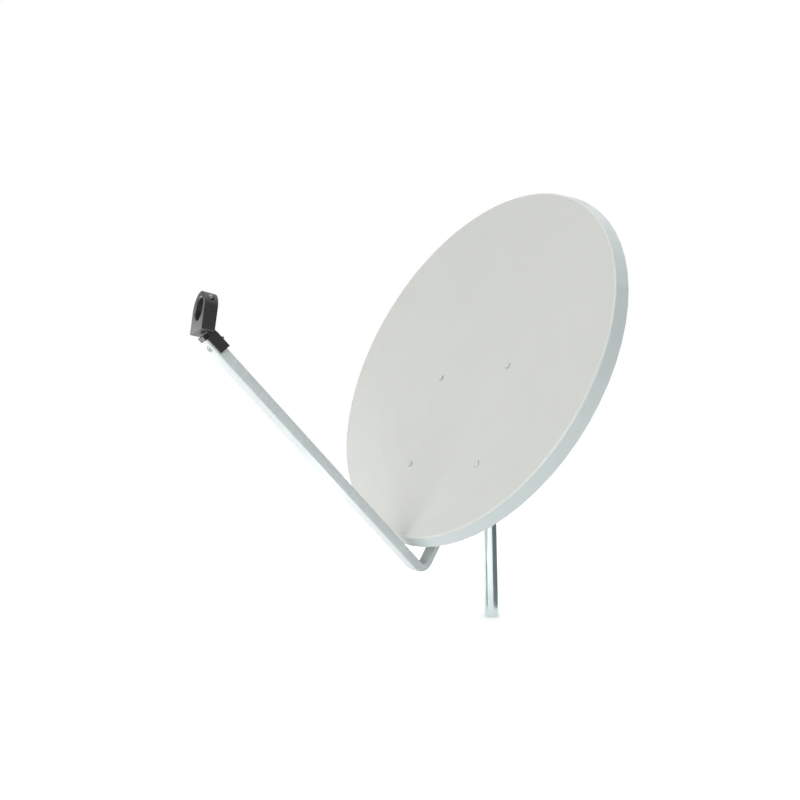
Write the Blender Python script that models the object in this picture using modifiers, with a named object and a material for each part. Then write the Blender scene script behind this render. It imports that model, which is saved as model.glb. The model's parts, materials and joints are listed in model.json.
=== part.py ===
"""Offset satellite dish on a short mast, with every sub-part as its own named object.

Metres, +Z up. The origin is on the mast's axis at its lower end, and the dish faces -Y.
Side-view places are (y, z) pairs, in the plane of symmetry x = 0.
"""

from math import asin, atan2, cos, hypot, pi, radians, sin, sqrt, tan

import bmesh
import bpy
from mathutils import Matrix, Vector
from mathutils.geometry import convex_hull_2d

# Reflector
REFLECTOR_WIDTH = 0.800
OFFSET_ANGLE = radians(20.0)  # between the beam and the normal of the rim's plane
FOCAL_LENGTH = 0.534
BEAM_ELEVATION = radians(40.2)
REFLECTOR_GAUGE = 0.0010
LIP_RADIUS = 0.003
SKIRT_DEPTH = 0.0245
SKIRT_FLARE = 0.0108
REFLECTOR_SECTORS = 72
REFLECTOR_RINGS = 8
LIP_STEPS = 3

# The four bolts through the reflector, in the rim plane's own directions from the hub line
BOLT_HALF_SPREAD = 0.110
UPPER_BOLT_RISE = 0.009
LOWER_BOLT_DROP = 0.2344

# Mast and its clamp
MAST_DIAMETER = 0.032
MAST_WALL = 0.002
MAST_LENGTH = 0.505
CAP_WALL = 0.0015
CAP_SKIRT = 0.012
CLAMP_BELOW_TOP = 0.069  # from the mast's top to the middle of the clamp
CLAMP_HEIGHT = 0.100
U_BOLT_PITCH = 0.060
U_BOLT_WIRE = 0.008
SADDLE_SEAT = 0.0072  # from the mast's skin to the clamp's web
SADDLE_HEIGHT = 0.018
SADDLE_MARGIN = 0.005
SADDLE_WING = 0.003  # how far the wings stand behind the vee's point
SADDLE_MOUTH = 0.7  # half the vee's mouth, as a share of the U-bolt's half width
V_HALF_ANGLE = radians(60.0)

# Rear bracket, and the pivot that it tilts on
SHEET = 0.0025
BRACKET_HALF_WIDTH = 0.0428
BRACKET_STANDOFF = 0.0150
BRACKET_END_MARGIN = 0.017
EAR_MARGIN = 0.015
EAR_TAPER = 0.005
PIVOT_AHEAD_OF_WEB = 0.0165
PIVOT_ABOVE_CLAMP_FOOT = 0.014
PIVOT_TO_LOCK = 0.072
TILT_DOWN = radians(25.0)
TILT_UP = radians(12.0)
HUB_AHEAD_OF_PIVOT = 0.0079
HUB_ABOVE_PIVOT = 0.1471
PIVOT_EYE_RADIUS = 0.013
SLOT_EYE_RADIUS = 0.011
CHEEK_TOP_CORNER = 0.060
CORNER = 0.004
SHEET_CORNER = 0.0005
SPACER_MARGIN = 0.002  # a spacer's rim beyond a washer's

# Feed arm and LNB holder
ARM_WIDTH = 0.030
ARM_HEIGHT = 0.020
ARM_WALL = 0.0015
ARM_CORNER = 0.003
LEG_DEPTH = 0.0125  # the tube is pressed to this depth behind its bend
BEND_OUTER_RADIUS = 0.030
BEND_STEPS = 8
ARM_GAP_UNDER_SKIRT = 0.0147
BEND_BEYOND_SKIRT = 0.063
ARM_BOLT_BEHIND = (-0.0433, -0.0984)  # the upper arm bolt, from the pivot
ARM_BOLT_PITCH = 0.034
ARM_BOLT_TO_END = 0.014
ARM_EYE_RADIUS = 0.013
FEED_REACH = 0.641
FEED_RISE = radians(5.1)
LNB_BORE = 0.040
BORE_CHAMFER = 0.0019
RING_WALL = 0.011
HOLDER_DEPTH = 0.022
HOLDER_FOOT_BELOW_BORE = 0.020
HOLDER_SIDE = 0.010  # from the bore to the side of the foot
ARM_TIP_BEHIND_BORE = 0.0164  # the arm's end, on its axis, behind the bore's front centre
ARM_TIP_BELOW_BORE = 0.0283  # and below the bore's edge
SLEEVE_LENGTH = 0.031
SLEEVE_WALL = 0.003
SLEEVE_ROOF = 0.004
SLEEVE_SHOW = 0.004  # the strip of the arm's side left below the sleeve
NECK_LENGTH = 0.012  # from the arm's end into the collar
SLIT_PLACE = 0.012
SLIT_WIDTH = 0.002
CLAMP_SCREW_ABOVE_BORE = 0.0036
CLAMP_SCREW_END = -0.002
CLAMP_SCREW_RECESS = 0.002
CLAMP_SCREW_TILT = radians(16.4)  # its head lies lower than its end
RECESS_GAP = 0.0005  # round the screw's head
PLUG_NOSE = 0.008
PLUG_INSERT = 0.016
PLUG_FLANGE = 0.0025
PLUG_CLEARANCE = 0.0006  # between a plug and the bolt beside it

# Fasteners, by thread diameter
THREAD_SMALL = 0.004
THREAD_HOLDER = 0.005
THREAD_LIGHT = 0.006
THREAD_HEAVY = 0.008
NUT_ACROSS_FLATS = 1.65  # times the thread
NUT_HEIGHT = 0.8  # times the thread
WASHER_DIAMETER = 2.1  # times the thread
HEAD_DIAMETER = 2.15  # times the thread
HEAD_HEIGHT = 0.5  # times the thread
HEAD_DOME_TURNS = (0.0, 0.5, 1.0, 1.35)  # from the crown towards the rim
WASHER_THICKNESS = 0.0012
THREAD_OVERRUN = 0.003

# Gaps
TOUCH = 0.0003  # between pieces that touch
HOLE_CLEARANCE = 0.0003  # round a bolt, on the radius
REFLECTOR_HOLE_CLEARANCE = 0.0006  # wider, because the bolts lean to the bowl
SLIDE_GAP = 0.0003  # between cheeks that turn on each other
FACET_ALLOWANCE = 1.2  # times the depth of one of the bowl's flat facets

ROUND_STEPS = 12
DISC_STEPS = 24
MAST_STEPS = 48
BORE_STEPS = 40
ROOM_STEPS = 40
BOW_STEPS = 12
ARM_CORNER_STEPS = 2
SMOOTH_ANGLE = radians(35.0)
WELD = 1e-6
SEAM_MERGE = 1e-5
AXIS_MARK = 0.05
CUT_MARGIN = 0.002


# ---------------------------------------------------------------- frames and derived places

BEAM = Vector((0.0, -cos(BEAM_ELEVATION), sin(BEAM_ELEVATION)))
RIM_LEAN = BEAM_ELEVATION - OFFSET_ANGLE
RIM_UP = Vector((0.0, sin(RIM_LEAN), cos(RIM_LEAN)))
RIM_NORMAL = Vector((0.0, -cos(RIM_LEAN), sin(RIM_LEAN)))
STRETCH = 1.0 / cos(OFFSET_ANGLE)
REFLECTOR_RADIUS = REFLECTOR_WIDTH / 2
BOWL_DEPTH = REFLECTOR_RADIUS**2 / (4 * FOCAL_LENGTH)

MAST_RADIUS = MAST_DIAMETER / 2
CLAMP_MIDDLE = MAST_LENGTH - CLAMP_BELOW_TOP
WEB_REAR = -(MAST_RADIUS + SADDLE_SEAT)
WEB_FRONT = WEB_REAR - SHEET
PIVOT_RISE = CLAMP_MIDDLE - CLAMP_HEIGHT / 2 + PIVOT_ABOVE_CLAMP_FOOT
PIVOT = Vector((0.0, WEB_REAR - PIVOT_AHEAD_OF_WEB, PIVOT_RISE))
HUB = PIVOT + Vector((0.0, -HUB_AHEAD_OF_PIVOT, HUB_ABOVE_PIVOT))
RIM_CENTRE = HUB + BEAM * BOWL_DEPTH

CHEEK_INNER = BRACKET_HALF_WIDTH - SHEET
CLAMP_HALF_WIDTH = CHEEK_INNER - SLIDE_GAP
RING_RADIUS = LNB_BORE / 2 + RING_WALL
SCREW_RISE = LNB_BORE / 2 + CLAMP_SCREW_ABOVE_BORE
SCREW_SEAT = sqrt(RING_RADIUS**2 - SCREW_RISE**2) - THREAD_SMALL * HEAD_HEIGHT - CLAMP_SCREW_RECESS


def side(vector):
    """A 3-D place as a (y, z) vector of the side view."""
    return Vector((vector.y, vector.z))


def in_space(pair, x=0.0):
    """A side-view place or direction as a 3-D vector."""
    return Vector((x, pair[0], pair[1]))


def left_of(direction):
    """The side-view direction a quarter turn anticlockwise from this one."""
    return Vector((-direction.y, direction.x))


def heading(angle):
    """The side-view unit direction at this angle from +Y towards +Z."""
    return Vector((cos(angle), sin(angle)))


def frame(origin, x_axis, y_axis):
    """A placement at origin whose local X and Y run along these directions."""
    x = Vector(x_axis).normalized()
    z = x.cross(Vector(y_axis)).normalized()
    placement = Matrix((x, z.cross(x), z)).transposed().to_4x4()
    placement.translation = origin
    return placement


def side_frame(x=0.0, pair=(0.0, 0.0)):
    """Local X is world +Y, local Y is world +Z, and local Z is world +X."""
    return frame(in_space(pair, x), (0, 1, 0), (0, 0, 1))


HANDS = {"right": 1, "left": -1}


def surface_point(x, rise):
    """The reflector's front surface at x across and this rise along the rim's plane."""
    squared = x**2 + (rise / STRETCH) ** 2
    return HUB + Vector((x, 0, 0)) + RIM_UP * rise + BEAM * (squared / (4 * FOCAL_LENGTH))


# The plane through the four reflector bolts sets where the rear bracket lies.
UPPER_BOLT = surface_point(BOLT_HALF_SPREAD, UPPER_BOLT_RISE)
LOWER_BOLT = surface_point(BOLT_HALF_SPREAD, -LOWER_BOLT_DROP)
BRACKET_UP = in_space((side(UPPER_BOLT) - side(LOWER_BOLT)).normalized())
BRACKET_FRONT = Vector((1, 0, 0)).cross(BRACKET_UP)
BOLT_HALF_RISE = (side(UPPER_BOLT) - side(LOWER_BOLT)).length / 2
BRACKET_MIDDLE = in_space((side(UPPER_BOLT) + side(LOWER_BOLT)) / 2) - BRACKET_FRONT * BRACKET_STANDOFF

# The arm runs from the LNB holder to its bend below the skirt, and back up to the bracket.
BORE_CENTRE = HUB + in_space(heading(pi - FEED_RISE)) * FEED_REACH
FEED_AIM = (HUB - BORE_CENTRE).normalized()
ARM_TIP = side(BORE_CENTRE) + Vector((ARM_TIP_BEHIND_BORE, -LNB_BORE / 2 - ARM_TIP_BELOW_BORE))
SKIRT_TIP = side(
    RIM_CENTRE - RIM_UP * (REFLECTOR_RADIUS * STRETCH + SKIRT_FLARE) - RIM_NORMAL * SKIRT_DEPTH
)
TIP_TO_SKIRT = SKIRT_TIP - ARM_TIP
ARM_ANGLE = atan2(TIP_TO_SKIRT.y, TIP_TO_SKIRT.x) - asin(
    (ARM_GAP_UNDER_SKIRT + ARM_HEIGHT / 2) / TIP_TO_SKIRT.length
)
ARM_ALONG = heading(ARM_ANGLE)
ARM_INWARD = left_of(ARM_ALONG)
ARM_LOW_TIP = ARM_TIP - ARM_INWARD * (ARM_HEIGHT / 2)
BEND_CORNER = ARM_LOW_TIP + ARM_ALONG * (TIP_TO_SKIRT.dot(ARM_ALONG) + BEND_BEYOND_SKIRT)
ARM_BOLT = side(PIVOT) + Vector(ARM_BOLT_BEHIND)
CORNER_TO_BOLT = ARM_BOLT - BEND_CORNER
LEG_ANGLE = atan2(CORNER_TO_BOLT.y, CORNER_TO_BOLT.x) - asin(LEG_DEPTH / 2 / CORNER_TO_BOLT.length)
LEG_ALONG = heading(LEG_ANGLE)
LEG_INWARD = left_of(LEG_ALONG)
LEG_END = BEND_CORNER + LEG_ALONG * (CORNER_TO_BOLT.dot(LEG_ALONG) + ARM_BOLT_TO_END)


# ---------------------------------------------------------------- scene, materials, helpers


def clear_scene():
    """Removes every object, so that the script can run again."""
    for old in list(bpy.data.objects):
        bpy.data.objects.remove(old)


def collection(name, hidden=False):
    """A collection under the scene's own."""
    made = bpy.data.collections.new(name)
    made.hide_render = hidden
    bpy.context.scene.collection.children.link(made)
    return made


def material(name, colour, roughness, metallic):
    """A Principled BSDF with a plain colour."""
    made = bpy.data.materials.new(name)
    made.use_nodes = True
    shader = made.node_tree.nodes["Principled BSDF"]
    shader.inputs["Base Color"].default_value = (*colour, 1.0)
    shader.inputs["Roughness"].default_value = roughness
    shader.inputs["Metallic"].default_value = metallic
    made.diffuse_color = (*colour, 1.0)
    return made


clear_scene()
PARTS = collection("satellite_dish")
CUTTERS = collection("cutters", hidden=True)


def axis_empty(name, place, parent=None):
    """An empty on a joint's axis, which carries the pieces that turn there."""
    empty = bpy.data.objects.new(name, None)
    PARTS.objects.link(empty)
    empty.empty_display_size = AXIS_MARK
    empty.location = place
    if parent:
        empty.parent = parent
        empty.location = Vector(place) - parent.location
    return empty


AZIMUTH_AXIS = axis_empty("azimuth_axis", (0.0, 0.0, CLAMP_MIDDLE))
ELEVATION_AXIS = axis_empty("elevation_axis", PIVOT, AZIMUTH_AXIS)


def add_piece(name, mesh, look, carrier=None, placement=None):
    """A named object with its own material, placed in the world and parented to its joint's empty."""
    piece = bpy.data.objects.new(name, mesh)
    PARTS.objects.link(piece)
    mesh.name = name
    mesh.materials.clear()
    mesh.materials.append(material(name, *look))
    mesh.shade_smooth()
    mesh.set_sharp_from_angle(angle=SMOOTH_ANGLE)
    origin = Vector((0, 0, 0))
    if carrier:
        piece.parent = carrier
        origin = PIVOT if carrier is ELEVATION_AXIS else Vector((0.0, 0.0, CLAMP_MIDDLE))
    piece.matrix_basis = Matrix.Translation(-origin) @ (placement or Matrix())
    return piece


def use(piece, mesh, operation, placement=None):
    """Cuts or joins a helper shape, kept in the cutters' collection, with a Boolean."""
    helper = bpy.data.objects.new(f"{piece.name}_{operation.lower()}", mesh)
    CUTTERS.objects.link(helper)
    helper.matrix_basis = placement or Matrix()
    helper.display_type = "WIRE"
    helper.hide_render = True
    boolean = piece.modifiers.new(operation.title(), "BOOLEAN")
    boolean.operation = operation
    boolean.object = helper


def baked(source):
    """The evaluated shape of a helper object as a welded mesh, and the helper is removed."""
    PARTS.objects.link(source)
    bpy.context.view_layer.update()
    evaluated = source.evaluated_get(bpy.context.evaluated_depsgraph_get())
    mesh = bpy.data.meshes.new_from_object(evaluated)
    bpy.data.objects.remove(source)
    work = bmesh.new()
    work.from_mesh(mesh)
    bmesh.ops.remove_doubles(work, verts=work.verts, dist=WELD)
    bmesh.ops.recalc_face_normals(work, faces=work.faces)
    work.to_mesh(mesh)
    work.free()
    return mesh


def copies(mesh, placements):
    """One mesh that holds a separate copy of the shape at each placement."""
    work = bmesh.new()
    for placement in placements:
        start = len(work.verts)
        work.from_mesh(mesh)
        work.verts.ensure_lookup_table()
        bmesh.ops.transform(work, matrix=placement, verts=work.verts[start:])
    made = bpy.data.meshes.new(mesh.name)
    work.to_mesh(made)
    work.free()
    return made


# ---------------------------------------------------------------- outlines and basic shapes


def circle(radius, steps=ROUND_STEPS, centre=(0.0, 0.0)):
    """Points round a circle."""
    turns = [2 * pi * step / steps for step in range(steps)]
    return [(centre[0] + radius * cos(turn), centre[1] + radius * sin(turn)) for turn in turns]


def hull(*discs):
    """The outline of a band stretched round discs, each as (x, y, radius)."""
    points = []
    for x, y, radius in discs:
        points += [Vector(point) for point in circle(radius, DISC_STEPS, (x, y))]
    return [tuple(points[index]) for index in convex_hull_2d(points)]


def arc_slot(centre, radius, first, last, half_width, steps=8):
    """The outline of a slot that follows an arc, with round ends."""

    def arc(about, size, start, end, count):
        turns = [start + (end - start) * step / count for step in range(count + 1)]
        return [(about[0] + size * cos(turn), about[1] + size * sin(turn)) for turn in turns]

    def on_arc(turn):
        return (centre[0] + radius * cos(turn), centre[1] + radius * sin(turn))

    outline = arc(centre, radius + half_width, first, last, steps)
    outline += arc(on_arc(last), half_width, last, last + pi, steps)[1:-1]
    outline += arc(centre, radius - half_width, last, first, steps)
    outline += arc(on_arc(first), half_width, first + pi, first + 2 * pi, steps)[1:-1]
    return outline


def slab(outline, depth, holes=()):
    """A flat piece between local z = 0 and z = depth."""
    curve = bpy.data.curves.new("outline", "CURVE")
    curve.dimensions = "2D"
    curve.fill_mode = "BOTH"
    curve.extrude = depth / 2
    for loop in (outline, *holes):
        spline = curve.splines.new("POLY")
        spline.points.add(len(loop) - 1)
        for point, (x, y) in zip(spline.points, loop):
            point.co = (x, y, 0.0, 1.0)
        spline.use_cyclic_u = True
    mesh = baked(bpy.data.objects.new("outline", curve))
    mesh.transform(Matrix.Translation((0, 0, depth / 2)))
    return mesh


def turned(profile, steps=ROUND_STEPS, closed=False):
    """A turned shape from (radius, z) points that run down its outer side."""
    mesh = bpy.data.meshes.new("profile")
    count = len(profile)
    edges = [(index, index + 1) for index in range(count - 1)]
    if closed:
        edges.append((count - 1, 0))
    mesh.from_pydata([(radius, 0.0, z) for radius, z in profile], edges, [])
    source = bpy.data.objects.new("profile", mesh)
    screw = source.modifiers.new("Screw", "SCREW")
    screw.steps = steps
    screw.render_steps = steps
    screw.use_merge_vertices = True
    screw.merge_threshold = SEAM_MERGE
    screw.use_smooth_shade = False
    return baked(source)


def ring(outer, inner, low, high, steps=ROUND_STEPS):
    """A turned tube or washer between two heights."""
    return turned([(inner, high), (outer, high), (outer, low), (inner, low)], steps, closed=True)


def rod(radius, low, high, steps=ROUND_STEPS):
    """A plain cylinder between two heights."""
    return turned([(0.0, high), (radius, high), (radius, low), (0.0, low)], steps)


def box(size, middle=(0.0, 0.0, 0.0)):
    """A block of this size."""
    work = bmesh.new()
    bmesh.ops.create_cube(work, size=1.0)
    bmesh.ops.scale(work, vec=size, verts=work.verts)
    bmesh.ops.translate(work, vec=middle, verts=work.verts)
    mesh = bpy.data.meshes.new("block")
    work.to_mesh(mesh)
    work.free()
    return mesh


# ---------------------------------------------------------------- fasteners


def bolt_shape(thread, length):
    """A round-headed bolt: its head is above z = 0 and its shank runs down from there."""
    radius = thread / 2
    head = thread * HEAD_DIAMETER / 2
    height = thread * HEAD_HEIGHT
    dome = [(head * sin(turn), height * cos(turn)) for turn in HEAD_DOME_TURNS]
    return turned([*dome, (head, 0.0), (radius, 0.0), (radius, -length), (0.0, -length)])


def nut_shape(thread):
    """A hexagon nut from z = 0 to its height."""
    corner = thread * NUT_ACROSS_FLATS / 2 / cos(pi / 6)
    hole = circle(thread / 2 + HOLE_CLEARANCE)
    return slab(circle(corner, 6), thread * NUT_HEIGHT, [hole])


def washer_shape(thread):
    """A flat washer from z = 0 to its thickness."""
    return ring(thread * WASHER_DIAMETER / 2, thread / 2 + HOLE_CLEARANCE, 0.0, WASHER_THICKNESS)


def bolt_length(thread, grip, washer=True):
    """The shank that a nut and its overrun need past this grip."""
    stack = TOUCH + thread * NUT_HEIGHT + THREAD_OVERRUN
    return grip + stack + (TOUCH + WASHER_THICKNESS if washer else 0.0)


def fasten(name, thread, grip, places, carrier, washer=True):
    """A bolt and its nut at each named place, where the bolt's head is on local +Z and rests at z = 0."""
    seat = -grip - (TOUCH + WASHER_THICKNESS if washer else 0.0)
    washer_at = Matrix.Translation((0, 0, seat))
    nut_at = Matrix.Translation((0, 0, seat - TOUCH - thread * NUT_HEIGHT))
    for label, place in places.items():
        tail = f"_{label}" if label else ""
        bolt = bolt_shape(thread, bolt_length(thread, grip, washer))
        add_piece(f"{name}_bolt{tail}", bolt, ZINC, carrier, place)
        if washer:
            add_piece(f"{name}_washer{tail}", washer_shape(thread), ZINC, carrier, place @ washer_at)
        nut = add_piece(f"{name}_nut{tail}", nut_shape(thread), ZINC, carrier, place @ nut_at)
        if not washer:
            add_flange(nut, thread, place @ nut_at)


def add_flange(nut, thread, place):
    """Joins a round flange to the face that a nut seats on."""
    height = thread * NUT_HEIGHT
    hole = thread / 2 + HOLE_CLEARANCE
    flange = ring(thread * WASHER_DIAMETER / 2, hole, height - WASHER_THICKNESS, height)
    use(nut, flange, "UNION", place)


PAINT = ((0.62, 0.63, 0.60), 0.45, 0.0)
ARM_PAINT = ((0.55, 0.60, 0.59), 0.40, 0.0)
GALVANISED = ((0.50, 0.53, 0.54), 0.38, 1.0)
BRIGHT_ZINC = ((0.62, 0.65, 0.66), 0.25, 1.0)
ZINC = ((0.45, 0.46, 0.46), 0.35, 1.0)
BLACK_PLASTIC = ((0.035, 0.034, 0.034), 0.45, 0.0)
GREY_PLASTIC = ((0.12, 0.12, 0.12), 0.50, 0.0)


# ---------------------------------------------------------------- reflector and its bolts


def bowl_placement():
    """Takes the round bowl z = r^2 / 4F to the offset one, which is the same bowl sheared and stretched."""
    shear = Matrix((Vector((1, 0, 0)), RIM_UP * STRETCH, BEAM)).transposed().to_4x4()
    shear.translation = HUB
    return shear


def rim_placement():
    """Takes a round rim to the elliptical one in the rim's plane."""
    stretched = Matrix((Vector((1, 0, 0)), RIM_UP * STRETCH, RIM_NORMAL)).transposed().to_4x4()
    stretched.translation = RIM_CENTRE
    return stretched


def spun(work, profile, placement):
    """Spins a profile of (radius, z) points a full turn, places it, and returns its new vertices."""
    start = len(work.verts)
    points = [work.verts.new((radius, 0.0, z)) for radius, z in profile]
    edges = [work.edges.new(pair) for pair in zip(points, points[1:])]
    bmesh.ops.spin(
        work,
        geom=points + edges,
        axis=(0, 0, 1),
        cent=(0, 0, 0),
        steps=REFLECTOR_SECTORS,
        angle=2 * pi,
        use_merge=True,
    )
    work.verts.ensure_lookup_table()
    made = work.verts[start:]
    bmesh.ops.transform(work, matrix=placement, verts=made)
    return made


def lip_profile():
    """The rolled lip and the flared skirt behind it, round the rim's centre."""
    slope = atan2(cos(OFFSET_ANGLE) * REFLECTOR_RADIUS, 2 * FOCAL_LENGTH)
    flare = atan2(SKIRT_FLARE, SKIRT_DEPTH)
    first = pi / 2 + slope
    centre = (REFLECTOR_RADIUS - LIP_RADIUS / 2, -LIP_RADIUS)
    profile = []
    for step in range(LIP_STEPS + 1):
        turn = first + (flare - first) * step / LIP_STEPS
        profile.append((centre[0] + LIP_RADIUS * cos(turn), centre[1] + LIP_RADIUS * sin(turn)))
    profile.append((REFLECTOR_RADIUS + SKIRT_FLARE, -SKIRT_DEPTH))
    return profile


def reflector():
    """The pressed steel bowl with its rolled lip, its skirt and four bolt holes."""
    lip = lip_profile()
    face_radius = lip[0][0] - LIP_RADIUS / 2
    radii = [face_radius * step / REFLECTOR_RINGS for step in range(REFLECTOR_RINGS + 1)]
    work = bmesh.new()
    spun(work, [(radius, radius**2 / (4 * FOCAL_LENGTH)) for radius in radii], bowl_placement())
    spun(work, lip, rim_placement())
    bmesh.ops.remove_doubles(work, verts=work.verts, dist=WELD)
    loops = [edge for edge in work.edges if edge.is_boundary]
    skirt_end = max(loops, key=lambda edge: (edge.verts[0].co - HUB).length)
    outer = loop_through(skirt_end)
    bmesh.ops.bridge_loops(work, edges=[edge for edge in loops if edge not in outer])
    bmesh.ops.recalc_face_normals(work, faces=work.faces)
    if sum((face.normal.dot(BEAM) * face.calc_area() for face in work.faces)) < 0:
        bmesh.ops.reverse_faces(work, faces=work.faces)
    mesh = bpy.data.meshes.new("reflector")
    work.to_mesh(mesh)
    work.free()
    piece = add_piece("reflector", mesh, PAINT, ELEVATION_AXIS)
    gauge = piece.modifiers.new("Gauge", "SOLIDIFY")
    gauge.thickness = REFLECTOR_GAUGE
    gauge.offset = -1.0
    gauge.use_even_offset = True
    reach = BRACKET_STANDOFF / 2
    hole = rod(THREAD_LIGHT / 2 + REFLECTOR_HOLE_CLEARANCE, -reach, reach)
    use(piece, copies(hole, reflector_bolt_places().values()), "DIFFERENCE")


def loop_through(edge):
    """The boundary edges joined end to end with this one."""
    found = {edge}
    waiting = [edge]
    while waiting:
        for vertex in waiting.pop().verts:
            for other in vertex.link_edges:
                if other.is_boundary and other not in found:
                    found.add(other)
                    waiting.append(other)
    return found


def reflector_bolt_places():
    """The four bolts stand square to the rear bracket's plane, on the reflector's front surface."""
    places = {}
    for hand, sign in HANDS.items():
        for level, point in (("upper", UPPER_BOLT), ("lower", LOWER_BOLT)):
            origin = (sign * point.x, point.y, point.z)
            places[f"{level}_{hand}"] = frame(origin, (1, 0, 0), BRACKET_UP)
    return places


def head_lift():
    """How far the bolt heads stand off, because the bowl slopes under them and has flat facets."""
    facet = (REFLECTOR_RADIUS / REFLECTOR_RINGS) ** 2 / (16 * FOCAL_LENGTH)
    normal_slope = BOLT_HALF_SPREAD / (2 * FOCAL_LENGTH)
    lean = (LOWER_BOLT_DROP + UPPER_BOLT_RISE) / 2 / STRETCH**2 / (2 * FOCAL_LENGTH)
    sloped = THREAD_LIGHT * HEAD_DIAMETER / 2 * hypot(normal_slope, lean)
    return max(TOUCH, FACET_ALLOWANCE * facet) + sloped


def reflector_fasteners():
    """The round-headed bolts seen on the dish's face, with flanged nuts behind the bracket."""
    lift = Matrix.Translation((0, 0, head_lift()))
    places = {label: place @ lift for label, place in reflector_bolt_places().items()}
    grip = head_lift() + BRACKET_STANDOFF + SHEET
    fasten("reflector", THREAD_LIGHT, grip, places, ELEVATION_AXIS, washer=False)


def reflector_spacers():
    """Collars between the bowl's back and the bracket's ears, each cut to the bowl."""
    outer = THREAD_LIGHT * WASHER_DIAMETER / 2 + SPACER_MARGIN
    inner = THREAD_LIGHT / 2 + HOLE_CLEARANCE
    room = room_before_back()
    for label, place in reflector_bolt_places().items():
        collar = ring(outer, inner, TOUCH - BRACKET_STANDOFF, BRACKET_STANDOFF / 2)
        piece = add_piece(f"reflector_spacer_{label}", collar, ZINC, ELEVATION_AXIS, place)
        use(piece, room, "DIFFERENCE")


def room_before_back():
    """The space taken by the bowl and everything in front of it, near its bolts."""
    half = max(BOLT_HALF_SPREAD, LOWER_BOLT_DROP) + EAR_MARGIN
    work = bmesh.new()
    bmesh.ops.create_grid(work, x_segments=ROOM_STEPS, y_segments=ROOM_STEPS, size=half)
    for vertex in work.verts:
        vertex.co.z = (vertex.co.x**2 + vertex.co.y**2) / (4 * FOCAL_LENGTH)
    bmesh.ops.transform(work, matrix=bowl_placement(), verts=work.verts)
    bmesh.ops.recalc_face_normals(work, faces=work.faces)
    if sum(face.normal.dot(BEAM) for face in work.faces) < 0:
        bmesh.ops.reverse_faces(work, faces=work.faces)
    for vertex in work.verts:
        vertex.co -= vertex.normal * (REFLECTOR_GAUGE + TOUCH)
    mesh = bpy.data.meshes.new("room_before_back")
    work.to_mesh(mesh)
    work.free()
    source = bpy.data.objects.new("room_before_back", mesh)
    fill = source.modifiers.new("Fill", "SOLIDIFY")
    fill.thickness = 2 * BRACKET_STANDOFF
    fill.offset = 1.0
    return baked(source)


# ---------------------------------------------------------------- rear bracket


def lock_place():
    """The locking bolts, straight above the pivot."""
    return side(PIVOT) + Vector((0.0, PIVOT_TO_LOCK))


def arm_bolt_pairs():
    """The two bolts that hold the arm's leg, upper one first."""
    return [ARM_BOLT, ARM_BOLT - LEG_ALONG * ARM_BOLT_PITCH]


def cheek_outline():
    """The bracket's cheek as seen from +X: it holds the arm, the pivot and the slot's ends."""
    up = side(BRACKET_UP)
    sheet_middle = side(BRACKET_MIDDLE) - side(BRACKET_FRONT) * (SHEET / 2)
    foot = sheet_middle - up * (BOLT_HALF_RISE + BRACKET_END_MARGIN - CORNER)
    head = sheet_middle + up * CHEEK_TOP_CORNER
    discs = [(foot.x, foot.y, SHEET_CORNER), (head.x, head.y, SHEET_CORNER)]
    discs += [(place.x, place.y, ARM_EYE_RADIUS) for place in arm_bolt_pairs()]
    discs.append((*side(PIVOT), PIVOT_EYE_RADIUS))
    for turn in (pi / 2 + TILT_UP, pi / 2 - TILT_DOWN):
        end = side(PIVOT) + heading(turn) * PIVOT_TO_LOCK
        discs.append((end.x, end.y, SLOT_EYE_RADIUS))
    return hull(*discs)


def cheek_holes():
    """The arm's bolt holes, the pivot's hole and the arc slot for the locking bolt."""
    light = THREAD_LIGHT / 2 + HOLE_CLEARANCE
    heavy = THREAD_HEAVY / 2 + HOLE_CLEARANCE
    holes = [circle(light, centre=place) for place in arm_bolt_pairs()]
    holes.append(circle(heavy, centre=side(PIVOT)))
    spare = HOLE_CLEARANCE / PIVOT_TO_LOCK
    first = pi / 2 - TILT_DOWN - spare
    last = pi / 2 + TILT_UP + spare
    holes.append(arc_slot(side(PIVOT), PIVOT_TO_LOCK, first, last, heavy))
    return holes


def bracket_plate():
    """The flat back of the bracket: a spine with a cross-bar to each pair of reflector bolts."""
    end = BOLT_HALF_RISE + BRACKET_END_MARGIN
    tip = BOLT_HALF_SPREAD + EAR_MARGIN
    spine = BRACKET_HALF_WIDTH - SHEET / 2
    bar = BOLT_HALF_RISE - BRACKET_END_MARGIN
    right_top = [
        (spine, bar - CORNER),
        (spine + CORNER, bar),
        (tip - CORNER, bar + EAR_TAPER),
        (tip, bar + EAR_TAPER + CORNER),
        (tip, end - CORNER),
        (tip - CORNER, end),
    ]
    right_low = [(x, -y) for x, y in reversed(right_top)]
    right = right_low + right_top
    outline = right + [(-x, y) for x, y in reversed(right)]
    hole = THREAD_LIGHT / 2 + HOLE_CLEARANCE
    signs = (1, -1)
    spots = [(across * BOLT_HALF_SPREAD, up * BOLT_HALF_RISE) for across in signs for up in signs]
    holes = [circle(hole, centre=spot) for spot in spots]
    return slab(outline, SHEET, holes)


def rear_bracket():
    """The pressed bracket on the reflector's back, with a slotted cheek on each side."""
    behind = frame(BRACKET_MIDDLE - BRACKET_FRONT * SHEET, (1, 0, 0), BRACKET_UP)
    to_local = behind.inverted()
    piece = add_piece("rear_bracket", bracket_plate(), GALVANISED, ELEVATION_AXIS, behind)
    cheek = slab(cheek_outline(), SHEET, cheek_holes())
    both = copies(cheek, [side_frame(CHEEK_INNER), side_frame(-BRACKET_HALF_WIDTH)])
    both.transform(to_local)
    use(piece, both, "UNION", behind)


# ---------------------------------------------------------------- arm


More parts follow.
